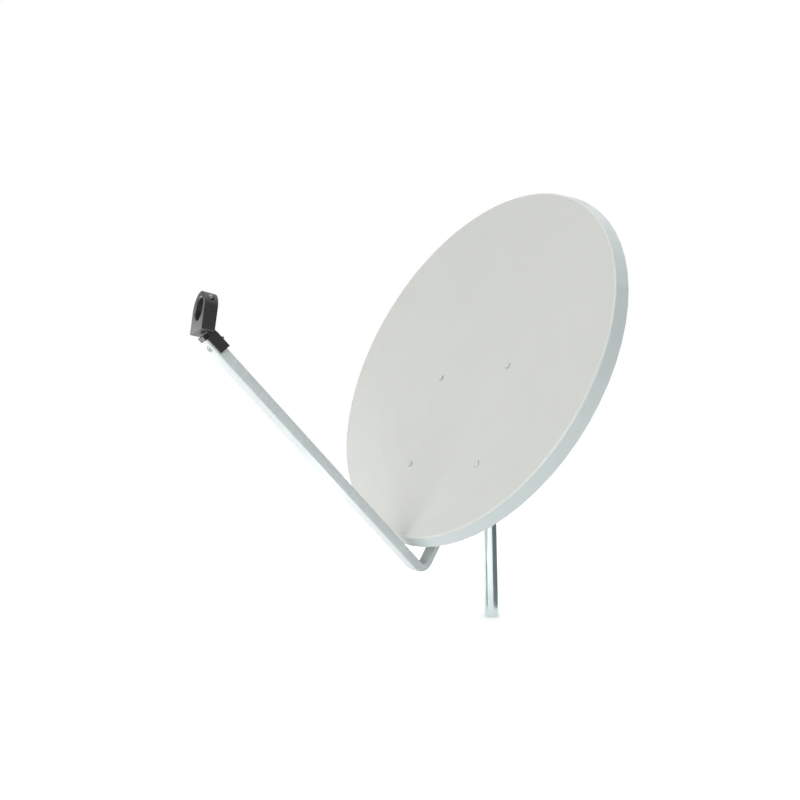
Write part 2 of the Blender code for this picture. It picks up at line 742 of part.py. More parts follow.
def arm_sections():
    """The arm's sections from its open end to its top end: outer edge, inward direction and depth."""
    turn = LEG_ANGLE - ARM_ANGLE
    tangent = BEND_OUTER_RADIUS * tan(turn / 2)
    bend_start = BEND_CORNER - ARM_ALONG * tangent
    centre = bend_start + ARM_INWARD * BEND_OUTER_RADIUS
    sections = [(ARM_LOW_TIP, ARM_INWARD, ARM_HEIGHT)]
    for step in range(BEND_STEPS + 1):
        share = step / BEND_STEPS
        inward = left_of(heading(ARM_ANGLE + turn * share))
        pressed = share * share * (3 - 2 * share)
        depth = ARM_HEIGHT + (LEG_DEPTH - ARM_HEIGHT) * pressed
        sections.append((centre - inward * BEND_OUTER_RADIUS, inward, depth))
    sections.append((LEG_END, LEG_INWARD, LEG_DEPTH))
    return sections


def tube_loop(outer_edge, inward, depth):
    """A rounded rectangle round one section of the arm."""
    half = ARM_WIDTH / 2 - ARM_CORNER
    loop = []
    for corner, (x, q) in enumerate(
        [(half, depth - ARM_CORNER), (-half, depth - ARM_CORNER), (-half, ARM_CORNER), (half, ARM_CORNER)]
    ):
        for step in range(ARM_CORNER_STEPS + 1):
            turn = pi / 2 * (corner + step / ARM_CORNER_STEPS)
            place = outer_edge + inward * (q + ARM_CORNER * sin(turn))
            loop.append(in_space(place, x + ARM_CORNER * cos(turn)))
    return loop


def arm():
    """The bent rectangular tube, lofted through its sections and pressed flatter behind the bend."""
    work = bmesh.new()
    loops = [[work.verts.new(point) for point in tube_loop(*section)] for section in arm_sections()]
    for near, far in zip(loops, loops[1:]):
        for index in range(len(near)):
            after = (index + 1) % len(near)
            work.faces.new((near[index], near[after], far[after], far[index]))
    bmesh.ops.recalc_face_normals(work, faces=work.faces)
    mesh = bpy.data.meshes.new("arm")
    work.to_mesh(mesh)
    work.free()
    piece = add_piece("arm", mesh, ARM_PAINT, ELEVATION_AXIS)
    wall = piece.modifiers.new("Wall", "SOLIDIFY")
    wall.thickness = ARM_WALL
    wall.offset = -1.0
    wall.use_even_offset = True
    cross = rod(THREAD_LIGHT / 2 + HOLE_CLEARANCE, -ARM_WIDTH, ARM_WIDTH)
    holes = [side_frame(0.0, place) for place in arm_bolt_pairs()]
    use(piece, copies(cross, holes), "DIFFERENCE")
    upright = rod(THREAD_HOLDER / 2 + HOLE_CLEARANCE, -ARM_HEIGHT, ARM_HEIGHT)
    use(piece, upright, "DIFFERENCE", holder_bolt_frame())


def arm_frame():
    """On the arm's axis at its open end: local Y runs out of the end, and local Z is its underside."""
    return frame(in_space(ARM_TIP), (1, 0, 0), in_space(-ARM_ALONG))


def holder_bolt_frame():
    """Where the holder's bolt crosses the arm's axis, with its head towards the arm's underside."""
    return arm_frame() @ Matrix.Translation((0, -SLEEVE_LENGTH / 2, 0))


def arm_front_plug():
    """The plastic plug in the arm's open end, with a nose that shows under the holder."""
    inside_x = ARM_WIDTH - 2 * (ARM_WALL + TOUCH)
    inside_z = ARM_HEIGHT - 2 * (ARM_WALL + TOUCH)
    hollow = THREAD_HOLDER + 2 * PLUG_CLEARANCE
    insert = slab(rounded(inside_x, inside_z, ARM_CORNER - ARM_WALL), PLUG_INSERT - hollow)
    start = arm_frame() @ frame((0, TOUCH, 0), (1, 0, 0), (0, 0, 1))
    piece = add_piece("arm_front_plug", insert, BLACK_PLASTIC, ELEVATION_AXIS, start)
    nose_height = ARM_HEIGHT / 2 - ARM_WALL
    nose_size = (ARM_WIDTH - 2 * ARM_CORNER, nose_height, PLUG_NOSE + TOUCH)
    nose = box(nose_size, (0, nose_height / 2, -PLUG_NOSE / 2))
    use(piece, nose, "UNION", start)


def rounded(width, height, radius):
    """The outline of a rectangle with round corners, centred."""
    x = width / 2 - radius
    y = height / 2 - radius
    return hull((x, y, radius), (-x, y, radius), (-x, -y, radius), (x, -y, radius))


def arm_top_plug():
    """The plastic plug that closes the arm's top end, behind the dish."""
    start = frame(in_space(LEG_END + LEG_INWARD * (LEG_DEPTH / 2)), (1, 0, 0), in_space(LEG_INWARD))
    inside_x = ARM_WIDTH - 2 * (ARM_WALL + TOUCH)
    inside_y = LEG_DEPTH - 2 * (ARM_WALL + TOUCH)
    insert_depth = ARM_BOLT_TO_END - THREAD_LIGHT
    insert = slab(rounded(inside_x, inside_y, ARM_CORNER - ARM_WALL), insert_depth)
    outward = 1.0 if (start.to_3x3() @ Vector((0, 0, 1))).dot(in_space(LEG_ALONG)) > 0 else -1.0
    flange = slab(rounded(ARM_WIDTH, LEG_DEPTH, ARM_CORNER), PLUG_FLANGE)
    flange.transform(Matrix.Translation((0, 0, TOUCH if outward > 0 else -TOUCH - PLUG_FLANGE)))
    insert.transform(Matrix.Translation((0, 0, 2 * TOUCH - insert_depth if outward > 0 else -2 * TOUCH)))
    piece = add_piece("arm_top_plug", flange, BLACK_PLASTIC, ELEVATION_AXIS, start)
    use(piece, insert, "UNION", start)


def arm_fasteners():
    """Two long bolts through the bracket's cheeks and the arm, with a spacer on each side of the arm."""
    levels = dict(zip(("upper", "lower"), arm_bolt_pairs()))
    places = {level: side_frame(BRACKET_HALF_WIDTH + TOUCH, place) for level, place in levels.items()}
    grip = 2 * (BRACKET_HALF_WIDTH + TOUCH)
    fasten("arm", THREAD_LIGHT, grip, places, ELEVATION_AXIS, washer=False)
    outer = THREAD_LIGHT * WASHER_DIAMETER / 2
    length = CHEEK_INNER - ARM_WIDTH / 2 - 2 * TOUCH
    for level, place in levels.items():
        for hand, start in (("right", ARM_WIDTH / 2 + TOUCH), ("left", TOUCH - CHEEK_INNER)):
            collar = ring(outer, THREAD_LIGHT / 2 + HOLE_CLEARANCE, 0.0, length)
            add_piece(f"arm_spacer_{level}_{hand}", collar, ZINC, ELEVATION_AXIS, side_frame(start, place))


# ---------------------------------------------------------------- LNB holder


def holder_frame():
    """On the bore's front centre: local Z points away from the dish, along the bore."""
    up = Vector((1, 0, 0)).cross(FEED_AIM)
    return frame(BORE_CENTRE, (1, 0, 0), up if up.z > 0 else -up)


def lnb_holder():
    """The plastic collar for the LNB, with its sleeve over the arm's end."""
    here = holder_frame()
    foot = CORNER / 2 - LNB_BORE / 2 - HOLDER_FOOT_BELOW_BORE
    side_x = LNB_BORE / 2 + HOLDER_SIDE - CORNER / 2
    outline = hull(
        (0.0, 0.0, RING_RADIUS),
        (side_x, foot, CORNER / 2),
        (-side_x, foot, CORNER / 2),
    )
    body = slab(outline, HOLDER_DEPTH)
    body.transform(Matrix.Translation((0, 0, -HOLDER_DEPTH)))
    piece = add_piece("lnb_holder", body, BLACK_PLASTIC, ELEVATION_AXIS, here)
    on_arm = arm_frame()
    width = ARM_WIDTH + 2 * (TOUCH + SLEEVE_WALL)
    top = ARM_HEIGHT / 2 + TOUCH + SLEEVE_ROOF
    height = top + ARM_HEIGHT / 2 - SLEEVE_SHOW
    sleeve = box((width, SLEEVE_LENGTH, height), (0, -SLEEVE_LENGTH / 2, height / 2 - top))
    use(piece, sleeve, "UNION", on_arm)
    neck_height = top - TOUCH
    overlap = SLEEVE_LENGTH / 4
    neck = box(
        (width - SHEET_CORNER, NECK_LENGTH + overlap, neck_height - SHEET_CORNER),
        (0, (NECK_LENGTH - overlap) / 2, -TOUCH - neck_height / 2 + SHEET_CORNER / 2),
    )
    use(piece, neck, "UNION", on_arm)
    bay_height = ARM_HEIGHT + 2 * TOUCH + CUT_MARGIN
    bay_length = SLEEVE_LENGTH + CUT_MARGIN
    bay = box(
        (ARM_WIDTH + 2 * TOUCH, bay_length + TOUCH, bay_height),
        (0, (TOUCH - bay_length) / 2, CUT_MARGIN / 2),
    )
    use(piece, bay, "DIFFERENCE", on_arm)
    use(piece, bore_cutter(), "DIFFERENCE", here)
    slit_size = (SLIT_WIDTH, RING_RADIUS, HOLDER_DEPTH + 2 * CUT_MARGIN)
    slit = box(slit_size, (SLIT_PLACE, (RING_RADIUS + LNB_BORE / 2) / 2, -HOLDER_DEPTH / 2))
    use(piece, slit, "DIFFERENCE", clamp_frame())
    use(piece, clamp_screw_room(), "DIFFERENCE", clamp_screw_frame())
    hole = rod(THREAD_HOLDER / 2 + HOLE_CLEARANCE, -ARM_HEIGHT, ARM_HEIGHT)
    use(piece, hole, "DIFFERENCE", holder_bolt_frame())


def bore_cutter():
    """The bore with a chamfer at each mouth."""
    radius = LNB_BORE / 2
    wide = radius + BORE_CHAMFER + CUT_MARGIN
    reach = BORE_CHAMFER + CUT_MARGIN
    profile = [
        (0.0, CUT_MARGIN),
        (wide, CUT_MARGIN),
        (radius, CUT_MARGIN - reach),
        (radius, reach - CUT_MARGIN - HOLDER_DEPTH),
        (wide, -CUT_MARGIN - HOLDER_DEPTH),
        (0.0, -CUT_MARGIN - HOLDER_DEPTH),
    ]
    return turned(profile, BORE_STEPS)


def clamp_frame():
    """The holder's frame turned about the bore, so that local X runs along the clamp screw."""
    return holder_frame() @ Matrix.Rotation(-CLAMP_SCREW_TILT, 4, "Z")


def clamp_screw_frame():
    """On the clamp screw's axis under its head, with local Z out of the head."""
    centre = Matrix.Translation((SCREW_SEAT, SCREW_RISE, -HOLDER_DEPTH / 2))
    return clamp_frame() @ centre @ Matrix.Rotation(pi / 2, 4, "Y")


def clamp_screw_room():
    """The recess for the clamp screw's head and the hole for its shank."""
    shank = THREAD_SMALL / 2 + HOLE_CLEARANCE
    recess = THREAD_SMALL * HEAD_DIAMETER / 2 + RECESS_GAP
    deep = CLAMP_SCREW_END - SCREW_SEAT - TOUCH
    far = RING_WALL + CLAMP_SCREW_RECESS
    profile = [(0.0, far), (recess, far), (recess, -TOUCH), (shank, -TOUCH), (shank, deep), (0.0, deep)]
    return turned(profile)


def holder_fasteners():
    """The clamp screw across the collar's slit, and the bolt that holds the sleeve to the arm."""
    screw = bolt_shape(THREAD_SMALL, SCREW_SEAT - CLAMP_SCREW_END)
    add_piece("lnb_clamp_screw", screw, BRIGHT_ZINC, ELEVATION_AXIS, clamp_screw_frame())
    underside = holder_bolt_frame() @ Matrix.Translation((0, 0, ARM_HEIGHT / 2 + TOUCH))
    grip = ARM_HEIGHT + 3 * TOUCH + SLEEVE_ROOF
    fasten("holder", THREAD_HOLDER, grip, {"": underside}, ELEVATION_AXIS)


# ---------------------------------------------------------------- mast and clamp


def mast():
    """The round mast, cut square at both ends."""
    tube = ring(MAST_RADIUS, MAST_RADIUS - MAST_WALL, 0.0, MAST_LENGTH, MAST_STEPS)
    add_piece("mast", tube, BRIGHT_ZINC)


def mast_cap():
    """The plastic cap over the mast's top."""
    inner = MAST_RADIUS + TOUCH
    outer = inner + CAP_WALL
    under = MAST_LENGTH + TOUCH
    foot = MAST_LENGTH - CAP_SKIRT
    profile = [
        (0.0, under + CAP_WALL),
        (outer - CAP_WALL, under + CAP_WALL),
        (outer, under),
        (outer, foot),
        (inner, foot),
        (inner, under),
        (0.0, under),
    ]
    add_piece("mast_cap", turned(profile, MAST_STEPS // 2), GREY_PLASTIC)


def u_bolt_heights():
    """The upper and the lower U-bolt."""
    return {"upper": CLAMP_MIDDLE + U_BOLT_PITCH / 2, "lower": CLAMP_MIDDLE - U_BOLT_PITCH / 2}


U_BOLT_HALF = MAST_RADIUS + TOUCH + U_BOLT_WIRE / 2


def clamp_web_frame(height=0.0):
    """Local X is -X, local Y is +Z, and local Z points back from the web's front face."""
    return frame((0, WEB_FRONT, height), (-1, 0, 0), (0, 0, 1))


def mast_bracket():
    """The channel that the U-bolts pull onto the mast, with a cheek on each side for the pivot."""
    half = CLAMP_HALF_WIDTH - SHEET / 2
    tall = CLAMP_HEIGHT / 2
    outline = rounded(2 * half, 2 * tall, CORNER / 2)
    hole = U_BOLT_WIRE / 2 + HOLE_CLEARANCE
    spots = [(x, y) for x in (-U_BOLT_HALF, U_BOLT_HALF) for y in (-U_BOLT_PITCH / 2, U_BOLT_PITCH / 2)]
    web = slab(outline, SHEET, [circle(hole, centre=spot) for spot in spots])
    place = clamp_web_frame(CLAMP_MIDDLE)
    piece = add_piece("mast_bracket", web, GALVANISED, AZIMUTH_AXIS, place)
    middle = WEB_FRONT + SHEET / 2
    lock = lock_place()
    cheek = hull(
        (middle, CLAMP_MIDDLE - tall + SHEET_CORNER, SHEET_CORNER),
        (middle, CLAMP_MIDDLE + tall - SHEET_CORNER, SHEET_CORNER),
        (*side(PIVOT), PIVOT_EYE_RADIUS),
        (lock.x, lock.y, PIVOT_EYE_RADIUS),
    )
    heavy = THREAD_HEAVY / 2 + HOLE_CLEARANCE
    holes = [circle(heavy, centre=side(PIVOT)), circle(heavy, centre=lock)]
    sheet = slab(cheek, SHEET, holes)
    both = copies(sheet, [side_frame(CLAMP_HALF_WIDTH - SHEET), side_frame(-CLAMP_HALF_WIDTH)])
    both.transform(place.inverted())
    use(piece, both, "UNION", place)


def mast_saddles():
    """A vee block between the mast and the web at each U-bolt."""
    wing = U_BOLT_HALF + U_BOLT_WIRE / 2 + SADDLE_MARGIN
    back = WEB_REAR + TOUCH
    reach = MAST_RADIUS + TOUCH
    vertex = -reach / sin(V_HALF_ANGLE)
    mouth = U_BOLT_HALF * SADDLE_MOUTH
    mouth_back = vertex + mouth / tan(V_HALF_ANGLE)
    outline = [
        (-wing, back),
        (wing, back),
        (wing, vertex + SADDLE_WING),
        (mouth, mouth_back),
        (0.0, vertex),
        (-mouth, mouth_back),
        (-wing, vertex + SADDLE_WING),
    ]
    for level, height in u_bolt_heights().items():
        block = slab(outline, SADDLE_HEIGHT)
        place = Matrix.Translation((0, 0, height - SADDLE_HEIGHT / 2))
        piece = add_piece(f"mast_saddle_{level}", block, GALVANISED, AZIMUTH_AXIS, place)
        hole = rod(U_BOLT_WIRE / 2 + HOLE_CLEARANCE, -MAST_DIAMETER, MAST_DIAMETER)
        legs = [
            frame((sign * U_BOLT_HALF, WEB_REAR, height), (1, 0, 0), (0, 0, 1)) for sign in HANDS.values()
        ]
        use(piece, copies(hole, legs), "DIFFERENCE")


def u_bolts():
    """Two U-bolts round the back of the mast, with washers and nuts inside the channel."""
    end = WEB_FRONT - 2 * TOUCH - WASHER_THICKNESS - THREAD_HEAVY * NUT_HEIGHT - THREAD_OVERRUN
    bow = [pi * step / BOW_STEPS for step in range(BOW_STEPS + 1)]
    for level, height in u_bolt_heights().items():
        curve = bpy.data.curves.new("wire", "CURVE")
        curve.dimensions = "3D"
        curve.bevel_depth = U_BOLT_WIRE / 2
        curve.bevel_resolution = 2
        curve.use_fill_caps = True
        route = [(U_BOLT_HALF, end)]
        route += [(U_BOLT_HALF * cos(turn), U_BOLT_HALF * sin(turn)) for turn in bow]
        route.append((-U_BOLT_HALF, end))
        spline = curve.splines.new("POLY")
        spline.points.add(len(route) - 1)
        for point, (x, y) in zip(spline.points, route):
            point.co = (x, y, height, 1.0)
        add_piece(f"u_bolt_{level}", baked(bpy.data.objects.new("wire", curve)), BRIGHT_ZINC, AZIMUTH_AXIS)
        for hand, sign in HANDS.items():
            face = frame((sign * U_BOLT_HALF, WEB_FRONT - TOUCH, height), (1, 0, 0), (0, 0, 1))
            past = Matrix.Translation((0, 0, WASHER_THICKNESS + TOUCH))
            tail = f"{level}_{hand}"
            add_piece(f"u_bolt_washer_{tail}", washer_shape(THREAD_HEAVY), ZINC, AZIMUTH_AXIS, face)
            add_piece(f"u_bolt_nut_{tail}", nut_shape(THREAD_HEAVY), ZINC, AZIMUTH_AXIS, face @ past)


def cheek_fasteners():
    """A pivot bolt and a locking bolt through each pair of cheeks, heads inside the channel."""
    grip = 2 * SHEET + SLIDE_GAP + 2 * TOUCH
    head = CLAMP_HALF_WIDTH - SHEET - TOUCH
    outward = Matrix.Rotation(pi, 4, "X")
    for kind, place in {"pivot": side(PIVOT), "elevation": lock_place()}.items():
        places = {"right": side_frame(head, place) @ outward, "left": side_frame(-head, place)}
        fasten(kind, THREAD_HEAVY, grip, places, AZIMUTH_AXIS)


for build_pieces in (
    reflector,
    reflector_fasteners,
    reflector_spacers,
    rear_bracket,
    arm,
    arm_front_plug,
    arm_top_plug,
    arm_fasteners,
    lnb_holder,
    holder_fasteners,
    mast,
    mast_cap,
    mast_bracket,
    mast_saddles,
    u_bolts,
    cheek_fasteners,
):
    build_pieces()
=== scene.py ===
"""Looks of an offset satellite dish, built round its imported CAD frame.

Each operator dresses one group of the dish's pieces: it gives the CAD nodes their finish, or
builds finer pieces that stand for them. The stage operator lays the floor, the lights and the
camera. Metres throughout, +Z up, and the dish faces -Y.
"""

import json
from math import atan2, cos, hypot, pi, radians, sin, tan

import bpy
import numpy as np
from bpy.props import FloatProperty, FloatVectorProperty, IntProperty, PointerProperty
from mathutils import Matrix, Vector

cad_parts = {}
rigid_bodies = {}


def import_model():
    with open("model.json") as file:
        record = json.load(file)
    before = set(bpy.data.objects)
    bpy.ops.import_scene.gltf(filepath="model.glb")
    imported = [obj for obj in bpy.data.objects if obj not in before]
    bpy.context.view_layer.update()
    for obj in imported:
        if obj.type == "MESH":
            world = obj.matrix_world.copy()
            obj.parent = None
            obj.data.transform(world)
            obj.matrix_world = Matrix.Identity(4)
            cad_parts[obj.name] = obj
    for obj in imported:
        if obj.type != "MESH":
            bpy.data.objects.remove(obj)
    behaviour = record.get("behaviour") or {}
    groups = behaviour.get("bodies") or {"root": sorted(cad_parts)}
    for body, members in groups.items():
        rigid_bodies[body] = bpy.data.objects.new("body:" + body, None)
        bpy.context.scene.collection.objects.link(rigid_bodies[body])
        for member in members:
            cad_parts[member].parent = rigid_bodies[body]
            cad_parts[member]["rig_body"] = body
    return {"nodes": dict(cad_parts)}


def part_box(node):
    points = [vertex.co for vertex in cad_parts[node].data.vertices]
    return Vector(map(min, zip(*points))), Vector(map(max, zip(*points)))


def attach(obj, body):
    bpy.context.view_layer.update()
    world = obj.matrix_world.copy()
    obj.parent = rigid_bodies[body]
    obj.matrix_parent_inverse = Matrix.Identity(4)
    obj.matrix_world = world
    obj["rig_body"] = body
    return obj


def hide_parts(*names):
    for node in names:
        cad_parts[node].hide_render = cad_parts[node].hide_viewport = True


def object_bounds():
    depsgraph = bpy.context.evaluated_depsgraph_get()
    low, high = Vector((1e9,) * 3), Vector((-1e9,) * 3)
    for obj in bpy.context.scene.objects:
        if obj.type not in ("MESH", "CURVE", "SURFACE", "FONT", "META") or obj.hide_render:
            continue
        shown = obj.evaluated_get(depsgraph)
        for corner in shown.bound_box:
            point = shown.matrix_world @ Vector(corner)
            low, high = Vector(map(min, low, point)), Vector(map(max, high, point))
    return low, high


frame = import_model()
CAD_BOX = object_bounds()

bl_info = {
    "name": "Satellite Dish Looks",
    "version": (1, 0, 0),
    "blender": (4, 5, 0),
    "location": "3D View > Sidebar > Dish",
    "description": "Finishes, fasteners and studio for an offset satellite dish",
    "category": "Object",
}

NODES = frame["nodes"]

PLUG_NODES = ("arm_front_plug", "arm_top_plug")
SADDLE_NODES = ("mast_saddle_upper", "mast_saddle_lower")
U_BOLT_NODES = ("u_bolt_upper", "u_bolt_lower")
WASHER_NODES = tuple(sorted(name for name in NODES if "_washer" in name))
SPACER_NODES = tuple(sorted(name for name in NODES if "_spacer" in name))
NUT_NODES = tuple(sorted(name for name in NODES if "_nut" in name))
NOT_BOLTS = U_BOLT_NODES + NUT_NODES + WASHER_NODES
BOLT_NODES = tuple(sorted(name for name in NODES if "_bolt_" in f"{name}_" and name not in NOT_BOLTS))
SCREW_NODES = ("lnb_clamp_screw",)
FLANGED = ("arm_nut", "reflector_nut")
CROSS_HEADS = ("lnb_clamp_screw", "holder_bolt")

RIM_LEAN = radians(20.2)  # how far the rim's plane leans back from upright
RIM_NORMAL = Vector((0.0, -cos(RIM_LEAN), sin(RIM_LEAN)))
RIM_UP = Vector((0.0, sin(RIM_LEAN), cos(RIM_LEAN)))
LIP_DEPTH = (0.0012, 0.0030)  # the lip fades out between these depths behind the front
LIP_REACH = (0.960, 0.968)  # and in between these shares of the rim's radius
SKIRT_SHADE_REACH = (0.9725, 0.9745)  # the skirt's painted shade, a darker and cooler colour than the face's, starts between these

SMOOTH_ANGLE = radians(32.0)
DISSOLVE_ANGLE = radians(1.0)
WELD = 1e-5
WIDEST = 0.98  # points beyond this share of the reach count as the wide end

THREAD_DEPTH = 0.61  # times the pitch
FINEST_PITCH = 0.0007
RINGS_PER_TURN = 8
THREADED_SHARE = 0.85  # of a bolt's length, at most
THREADED_RADII = 8
HEAD_RINGS = 14
HEAD_ARC = 1.42  # from the crown to the rim, in radians
RIM_BAND = 0.08  # height of the head's upright rim, as a share of the head's
CROSS_DEPTH = 0.75  # times the head's height
CROSS_REACH = 0.62  # times the head's radius
CROSS_SLOT = 0.24  # half a slot's width at its top, as a share of the recess's reach
CROSS_SLOPE = 0.08

NUT_SIDES = 72
NUT_ACROSS_FLATS = 1.65  # times the thread
NUT_LEAD_IN = 0.0003  # chamfer round a nut's hole, and its clearance on the thread
CAP_SHARE = 0.97  # radius of a nut's flat end, as a share of its apothem
BEVEL_STEPS = 4
FLANGE_SLOPE = 0.0013  # above the nut's seat, where the flange leaves the hexagon
FLANGE_EDGE = 0.0009
FLANGE_RIM = 0.0006
FLANGE_LEAD = 0.0004  # how far the slope's foot stays inside the flange's rim
U_BOLT_THREAD_PITCH = 0.00125
THREAD_PROUD = 0.0002

FLOOR_RADIUS = 14.0
FLOOR_THICKNESS = 0.02
FLOOR_GAP = 0.0005
FLOOR_SIDES = 64
CARD_HEIGHT = 0.42
ROOM_SHADE = (0.50, 0.55, 0.56)
# The key light's place is from the dish's middle: to the camera's left, towards it and up.
KEY_LEFT, KEY_TOWARD, KEY_RISE, KEY_SIZE = 1.5, 1.7, 0.5, 1.1
LOW_PLACE, LOW_TARGET, LOW_SIZE = (-0.30, -0.50, 0.015), (0.0, -0.42, 0.14), 0.12
SIDE_PLACE, SIDE_TARGET, SIDE_SIZE = (-0.80, -0.98, 0.55), (0.0, -0.68, 0.57), 0.6
TOP_ANGLE = radians(100.0)


# ---------------------------------------------------------------- shader expressions


class Field:
    """A shader socket that takes part in Python arithmetic."""

    def __init__(self, maker, socket):
        self.maker = maker
        self.socket = socket

    def _math(self, operation, *values):
        return self.maker.node("ShaderNodeMath", {"operation": operation}, dict(enumerate(values)))

    def __add__(self, other):
        return self._math("ADD", self, other)

    def __sub__(self, other):
        return self._math("SUBTRACT", self, other)

    def __rsub__(self, other):
        return self._math("SUBTRACT", other, self)

    def __mul__(self, other):
        return self._math("MULTIPLY", self, other)

    def __truediv__(self, other):
        return self._math("DIVIDE", self, other)

    def __pow__(self, other):
        return self._math("POWER", self, other)

    def __abs__(self):
        return self._math("ABSOLUTE", self)

    __radd__ = __add__
    __rmul__ = __mul__

    def swing(self, width):
        """A field from 0 to 1, moved to lie about 0 and scaled to this full width."""
        return (self - 0.5) * width

    def step(self, low, high):
        """0 below low, 1 above high, and a smooth rise between."""
        return self.maker.node(
            "ShaderNodeMapRange",
            {"interpolation_type": "SMOOTHSTEP", "clamp": True},
            {"Value": self, "From Min": low, "From Max": high},
        )


class NodeMaker:
    """Makes the nodes of one tree. Its patterns are laid out in one of the texture coordinates."""

    def __init__(self, tree, coordinate):
        self.tree = tree
        self.place = self.node("ShaderNodeTexCoord", {}, {}, coordinate)

    def feed(self, socket, value):
        """Links a field to a socket, or sets the socket's own value."""
        if isinstance(value, Field):
            self.tree.links.new(value.socket, socket)
        elif socket.type == "RGBA":
            socket.default_value = (*value[:3], 1.0)
        else:
            socket.default_value = value

    def node(self, kind, settings, values, output=0):
        """A new node: its settings first, then its sockets' values or links."""
        made = self.tree.nodes.new(kind)
        for name, value in settings.items():
            setattr(made, name, value)
        for name, value in values.items():
            self.feed(made.inputs[name], value)
        return Field(self, made.outputs[output])

    def stretched(self, scale):
        """The object's own coordinates, scaled along each axis."""
        return self.node("ShaderNodeVectorMath", {"operation": "MULTIPLY"}, {0: self.place, 1: scale})

    def noise(self, size, detail=2.0, place=None):
        """Noise from 0 to 1 whose features are about this size in metres."""
        values = {"Vector": place or self.place, "Scale": 1.0 / size, "Detail": detail, "Roughness": 0.55}
        return self.node("ShaderNodeTexNoise", {}, values)

    def cells(self, size, place=None):
        """A random value from 0 to 1 for each cell of about this size in metres."""
        values = {"Vector": place or self.place, "Scale": 1.0 / size}
        colour = self.node("ShaderNodeTexVoronoi", {}, values, "Color")
        return self.node("ShaderNodeSeparateColor", {}, {0: colour})

    def along(self, direction, start=(0.0, 0.0, 0.0)):
        """Distance along a direction from a starting point."""
        shifted = self.node("ShaderNodeVectorMath", {"operation": "SUBTRACT"}, {0: self.place, 1: start})
        values = {0: shifted, 1: direction}
        return self.node("ShaderNodeVectorMath", {"operation": "DOT_PRODUCT"}, values, "Value")

    def shade(self, colour, tone):
        """A colour made lighter or darker by a number."""
        return self.node("ShaderNodeVectorMath", {"operation": "SCALE"}, {0: colour, "Scale": tone})

    def mix(self, factor, first, second):
        """One colour turning into another."""
        return self.node("ShaderNodeMix", {"data_type": "RGBA"}, {0: factor, 6: first, 7: second}, 2)


class Finish(NodeMaker):
    """One material's nodes round its Principled BSDF."""

    def __init__(self, name):
        self.material = bpy.data.materials.new(name)
        self.material.use_nodes = True
        super().__init__(self.material.node_tree, "Object")
        self.shader = self.tree.nodes["Principled BSDF"]

    def bump(self, height, distance):
        """Relief whose full height is this distance in metres."""
        normal = self.node("ShaderNodeBump", {}, {"Distance": distance, "Height": height})
        self.set("Normal", normal)

    def set(self, name, value):
        """Feeds one of the Principled BSDF's sockets."""
        self.feed(self.shader.inputs[name], value)


# ---------------------------------------------------------------- settings


def colour_property(name, description, default):
    """A colour that the panel can change."""
    return FloatVectorProperty(
        name=name, description=description, default=default, min=0, max=1, subtype="COLOR"
    )


def length_property(name, description, default):
    """A length that the panel can change."""
    return FloatProperty(
        name=name,
        description=description,
        default=default,
        min=0,
        precision=5,
        subtype="DISTANCE",
        unit="LENGTH",
    )


def share_property(name, description, default):
    """A share from 0 to 1 that the panel can change."""
    return FloatProperty(
        name=name, description=description, default=default, min=0, max=1, subtype="FACTOR"
    )


def power_property(name, description, default):
    """A light's power that the panel can change."""
    return FloatProperty(name=name, description=description, default=default, min=0, unit="POWER")


class DishPaint(bpy.types.PropertyGroup):
    """The stoved paint on the reflector and the arm."""

    face: colour_property("Reflector", "Paint on the reflector", (0.432, 0.440, 0.417))
    arm: colour_property("Arm", "Paint on the feed arm", (0.412, 0.452, 0.452))
    # Painted shade: the skirt's colour is darker and cooler than the face's because the skirt faces away
    # from the lights.
    skirt_shade: colour_property("Skirt", "Paint on the reflector's skirt", (0.390, 0.437, 0.433))
    roughness: share_property("Roughness", "How matt the paint is", 0.40)
    gloss: share_property("Gloss", "Share of clear gloss over the paint", 0.25)
    peel: length_property("Orange peel", "Size of the paint's orange peel", 0.0016)
    peel_depth: length_property("Peel depth", "Depth of the orange peel", 0.00002)
    cloud: length_property("Cloud", "Size of the uneven patches", 0.09)


class DishZinc(bpy.types.PropertyGroup):
    """Zinc on the mast, the sheet metal and the fasteners."""

    mast: colour_property("Mast", "Bright zinc on the mast", (0.66, 0.735, 0.74))
    sheet: colour_property("Sheet", "Galvanised sheet", (0.56, 0.59, 0.60))
    plated: colour_property("Fasteners", "Zinc plating on bolts and nuts", (0.34, 0.36, 0.365))
    dull: colour_property("Bowl bolts", "Dull zinc on the bolts through the reflector", (0.56, 0.58, 0.565))
    spangle: length_property("Spangle", "Size of the zinc's crystals", 0.009)


class DishPlastic(bpy.types.PropertyGroup):
    """Moulded plastic of the holder, the plugs and the cap."""

    black: colour_property("Black", "Holder and plugs", (0.016, 0.0157, 0.0154))
    grey: colour_property("Grey", "Mast cap", (0.11, 0.11, 0.112))
    grain: length_property("Grain", "Size of the mould's texture", 0.0006)


class DishDetail(bpy.types.PropertyGroup):
    """Edges and threads."""

    edge: length_property("Edge radius", "Radius of folded and moulded edges", 0.0005)
    fine_edge: length_property("Fine edge", "Radius of cut edges and small parts", 0.0002)
    sides: IntProperty(name="Sides", description="Points round a bolt", default=36, min=12, max=96)
    pitch: share_property("Pitch", "Thread pitch as a share of the diameter", 0.16)


